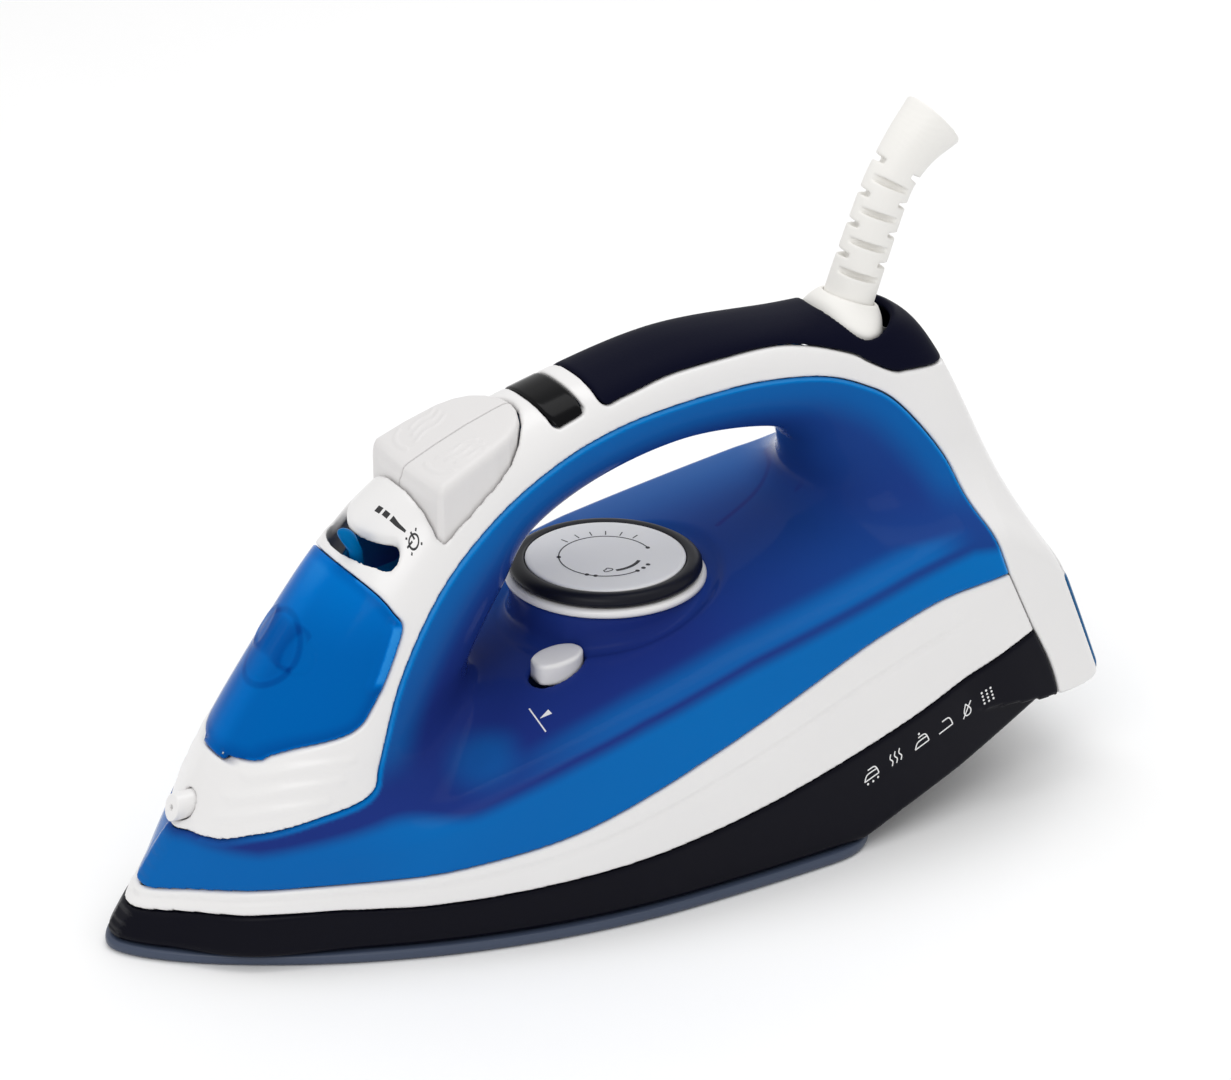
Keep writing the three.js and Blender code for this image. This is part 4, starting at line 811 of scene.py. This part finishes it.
def on_body(axis, solve_range, toward):
    """Lays flat points on the body's surface along the Y or the Z axis, first hit from the side named by toward."""
    def lay(a, b, height):
        steps = np.linspace(*solve_range, 400)
        fixed = np.full(400, a), np.full(400, b)
        at = [fixed[0], steps, fixed[1]] if axis == 1 else [fixed[0], fixed[1], steps]
        index = np.stack([(v - low) / H for v, low in zip(at, G.lo)], 1)
        values = sample(BODY, np.clip(index, 0, np.array(BODY.shape) - 1.001))
        k = int(np.argmax(values < 0))
        f = values[k - 1] / (values[k - 1] - values[k] + 1e-9)
        hit = steps[k - 1] + (steps[k] - steps[k - 1]) * f + toward * height
        return (a, hit, b) if axis == 1 else (a, b, hit)
    return lay


TOP = on_body(2, (135, 85), 1)
LEVER_PRINTS = [ribbon([(-62.9, -2.2), (-62.6, -4.2)], 1.5), ribbon([(-62.4, -5.2), (-62.1, -7.3)], 1.3),
                ribbon(spline([(-61.8, -8.4), (-61.4, -11), (-60.5, -13.6)], 4), np.linspace(1.3, 0.5, 9))]
puff = (-59.6, -16.4)
LEVER_PRINTS += [ribbon([(puff[0] + dx, puff[1] + dy) for dx, dy in pair], 0.4) for pair in (
    ((-1.5, -1.6), (1.6, 1.7)), ((1.7, -1.5), (-1.5, 1.7)), ((-1.9, 0), (-0.3, 0.2)), ((0.1, 1.9), (0.3, 0.2)))]
LEVER_PRINTS.append(ribbon(arc(1.25, 0, 360, 20) + puff, 0.36))
print_on("lever_scale", LEVER_PRINTS, TOP, INK, slot="gloss_black")

DECK = on_body(2, (100, 40), 1)
LEVEL_MARK = [ribbon([(-33.1, -28.6), (-33.7, -38.6)], 0.35), ribbon([(-29.6, -33.6), (-32.6, -33.7)], [1.9, 0.1])]
print_on("level_mark", LEVEL_MARK, DECK, INK_WHITE, slot="white_abs")

SIDE = on_body(1, (-63, -20), -1)


def pictogram(x, z, slope, lines, dots=()):
    """A small outline drawing on the skirt, turned to run along it."""
    c, n = math.cos(slope), math.sin(slope)
    turned = [ribbon([(x + a * c - b * n, z + a * n + b * c) for a, b in spline(line, 3)], 0.36) for line in lines]
    return turned + [disc((x + a * c - b * n, z + a * n + b * c), 0.34, sides=7) for a, b in dots]


SMALL_IRON = [[(-2.6, -1.2), (2.5, -1.2)], [(2.5, -1.2), (2.3, 0.4), (1.6, 1.5), (-0.6, 1.6)],
              [(-2.6, -1.2), (-1.4, 0.3), (0.4, 0.5), (2.2, 0.4)]]
DROPS = [(-1.8, -2.3), (0, -2.5), (1.8, -2.3)]
WAVES = [[(dx, -1.8), (dx + 0.6, -0.6), (dx, 0.6), (dx + 0.6, 1.8)] for dx in (-1.8, -0.2, 1.4)]
DROP = [[(0, 1.9), (-1.2, -0.3), (-0.7, -1.6), (0.7, -1.6), (1.2, -0.3), (0, 1.9)]]
STROKE = [[(-2.0, -1.9), (2.0, 1.9)]]
slope = math.radians(18)
MARKS = pictogram(57.5, 22.8, slope, SMALL_IRON, DROPS) + pictogram(66, 25.2, slope, WAVES)
MARKS += pictogram(75, 27.2, slope, SMALL_IRON, [(0, 2.6)]) + pictogram(83.5, 29.4, slope, SMALL_IRON[:2])
MARKS += pictogram(91.5, 31.6, slope, DROP + STROKE)
GRAIN = [(a, b) for a in (-1.5, 0, 1.5) for b in (-1.8, -0.6, 0.6, 1.8)]
MARKS += pictogram(98.5, 33.9, slope, [], GRAIN)
print_on("skirt_marks", MARKS, SIDE, INK_WHITE, slot="white_abs")

# ---------------------------------------------------------------- lid hinge pin, sunk under the surface
rod = [(0, -PIN_HALF), (0.5, -PIN_HALF), (0.7, -5.0), (0.7, 5.0), (0.5, PIN_HALF), (0, PIN_HALF)]
place(revolve("hinge_rod", rod, (PIN[0], 0, PIN[1]), STEEL, axis=(0, 1, 0), sides=24), slot="steel",
      replaces=["lid_hinge_pin"])

# ---------------------------------------------------------------- self-clean button
g = Box((-27, -29, 56), (-9, -15, 65), 0.3)
key = polygon_sdf(CLEAN_OUTLINE, g.x[:, :, 0], g.y[:, :, 0])[:, :, None]
key = smax(key, np.maximum(g.z - 64.0 - 0.10 * (g.x - CLEAN[0]) + 0.35, 57 - g.z), 1.3)
place(extract("clean_key", g, key, WHITE), on="self_clean", slot="white_abs", replaces=["self_clean_button"])

# ---------------------------------------------------------------- cord guard
ROWS = np.array([(-5, 0, 7.1), (4, 0, 7.1), (18, 0, 7.0), (38, 0.4, 6.75), (46, 1.6, 6.85), (54, 4.4, 7.7),
                 (61.5, 8.6, 9.2)])
path = spline(ROWS, 24)
centre = GUARD + path[:, :1] * AXIS + path[:, 1:2] * ACROSS
tangent = np.gradient(centre, axis=0)
tangent /= np.linalg.norm(tangent, axis=1)[:, None]
tangent[0] = AXIS
g = Box((68, -11, 119), (118, 11, 193), 0.45)
xx, zz = np.broadcast_arrays(g.x[:, 0, :], g.z[0, :, :])
d2 = (xx[..., None] - centre[:, 0]) ** 2 + (zz[..., None] - centre[:, 1]) ** 2
k = d2.argmin(-1)
dx, dz = xx - centre[k, 0], zz - centre[k, 1]
along = (path[k, 0] + dx * tangent[k, 0] + dz * tangent[k, 1])[:, None, :]
side = (dx * tangent[k, 1] - dz * tangent[k, 0])[:, None, :]
radius = path[k, 2][:, None, :]
r = np.sqrt(side**2 + g.y**2)
sleeve = smax(r - radius, np.maximum(path[0, 0] - along, along - path[-1, 0]), 0.5)
sleeve = smax(sleeve, radius - 3.6 - r, 0.6)
facing = -math.radians(30)
toward = np.sin(facing) * side - np.cos(facing) * g.y
sideways = np.cos(facing) * side + np.sin(facing) * g.y
for i in range(8):
    middle = 16.1 + 4.3 * i
    q = np.abs(sideways if i % 2 else toward)
    half_height = 0.85 * np.clip(1.15 - 0.05 * (np.abs(toward if i % 2 else sideways)) ** 1.3, 0.2, 1)
    sleeve = smax(sleeve, -np.maximum(np.abs(along - middle) - half_height, 4.1 - q), 0.3)
place(extract("guard_sleeve", g, sleeve, CREAM), on="guard", slot="cream", replaces=["cord_guard"])

SOCKET = spline([(-7, 9.8, 13.6), (0, 10.0, 14.0), (2.8, 10.2, 14.1), (5, 10.1, 12.6), (7, 9.7, 10.6),
                 (9.5, 8.1, 8.1)], 6)
SOCKET_LOW_Z = 121  # nothing of the collar is left below this height
g = Box((66, -16, 118), (95, 16, 141), 0.4)
up, across = guard_frame(g)
a_half = np.interp(up, SOCKET[:, 0], SOCKET[:, 1])
b_half = np.interp(up, SOCKET[:, 0], SOCKET[:, 2])
socket = (np.sqrt((across / a_half) ** 2 + (g.y / b_half) ** 2) - 1) * np.minimum(a_half, b_half)
socket = smax(socket, np.maximum(up - 9.3, -6 - up), 0.6)
socket = smax(socket, 7.35 - np.sqrt(across**2 + g.y**2), 0.4)
socket = smax(socket, np.where(g.z < SOCKET_LOW_Z, SOCKET_LOW_Z + 1 - g.z, -1), 0.3)
place(extract("socket_collar", g, socket, CREAM), slot="cream", replaces=["guard_socket"])

# ---------------------------------------------------------------- carried-over CAD nodes
LOOKS = {
    NYLON: ["tank_floor", "filler_funnel", "spray_piston", "burst_piston", "spray_pump", "burst_pump", "dial_shaft",
            "self_clean_rod", "cord_clamp"],
    ALLOY: ["heater_casting"],
    STEEL: ["heating_element", "chamber_cover", "chamber_screw_1", "chamber_screw_2", "chamber_screw_3",
            "spray_spring", "burst_spring", "self_clean_spring", "valve_stem", "board_screw_1",
            "board_screw_2"],
    BRASS: ["valve_seat", "indicator_lamp"],
    SILICONE: ["filler_seal", "spray_hose", "burst_hose", "live_lead", "neutral_lead"],
    CERAMIC: ["thermostat", "thermal_fuse", "terminal_block"],
    BOARD: ["shutoff_board"],
    SKIRT: ["board_relay"],
}
for mat, names in LOOKS.items():
    for n in names:
        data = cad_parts[n].data
        data.materials.clear()
        data.materials.append(mat)

# ---------------------------------------------------------------- stage
def studio():
    floor_mat = plastic("floor_white", (0.97, 0.97, 0.97), 0.7, tone=0.005, bump=0.0)
    floor = add_mesh("floor", [(-6000, -6000, 0), (6000, -6000, 0), (6000, 6000, 0), (-6000, 6000, 0)],
                     [(0, 1, 2, 3)], floor_mat)
    floor.location.z = -0.0002
    world = bpy.data.worlds.new("studio")
    world.use_nodes = True
    world.node_tree.nodes["Background"].inputs["Color"].default_value = (1, 1, 1, 1)
    world.node_tree.nodes["Background"].inputs["Strength"].default_value = 0.72
    bpy.context.scene.world = world
    for name, at, size, power in (("key", (-0.9, -0.9, 1.3), (0.9, 0.9), 6.5),
                                  ("top", (0.15, 0.25, 1.5), (1.4, 0.7), 6),
                                  ("rim", (1.1, 0.6, 0.8), (0.5, 1.0), 2)):
        lamp = bpy.data.lights.new(name, "AREA")
        lamp.shape = "RECTANGLE"
        lamp.size, lamp.size_y = size
        lamp.energy = power
        o = bpy.data.objects.new(name, lamp)
        o.location = at
        aim = Vector((0, 0, 0.07)) - o.location
        o.rotation_mode = "QUATERNION"
        o.rotation_quaternion = aim.to_track_quat("-Z", "Y")
        bpy.context.scene.collection.objects.link(o)


def camera():
    data = bpy.data.cameras.new("camera")
    data.sensor_width = 36
    data.lens = 119.481
    data.clip_start, data.clip_end = 0.01, 100
    o = bpy.data.objects.new("camera", data)
    az, el, distance = math.radians(-30), math.radians(25), 1.1
    back = Vector((math.sin(az) * math.cos(el), -math.cos(az) * math.cos(el), math.sin(el)))
    middle = Vector((0.0095233, 0, 0.0815422))  # what the camera looks at
    o.location = middle + back * distance
    o.rotation_mode = "QUATERNION"
    o.rotation_quaternion = (-back).to_track_quat("-Z", "Y")
    bpy.context.scene.collection.objects.link(o)
    bpy.context.scene.camera = o


studio()
camera()
bpy.context.scene.view_settings.view_transform = "Standard"
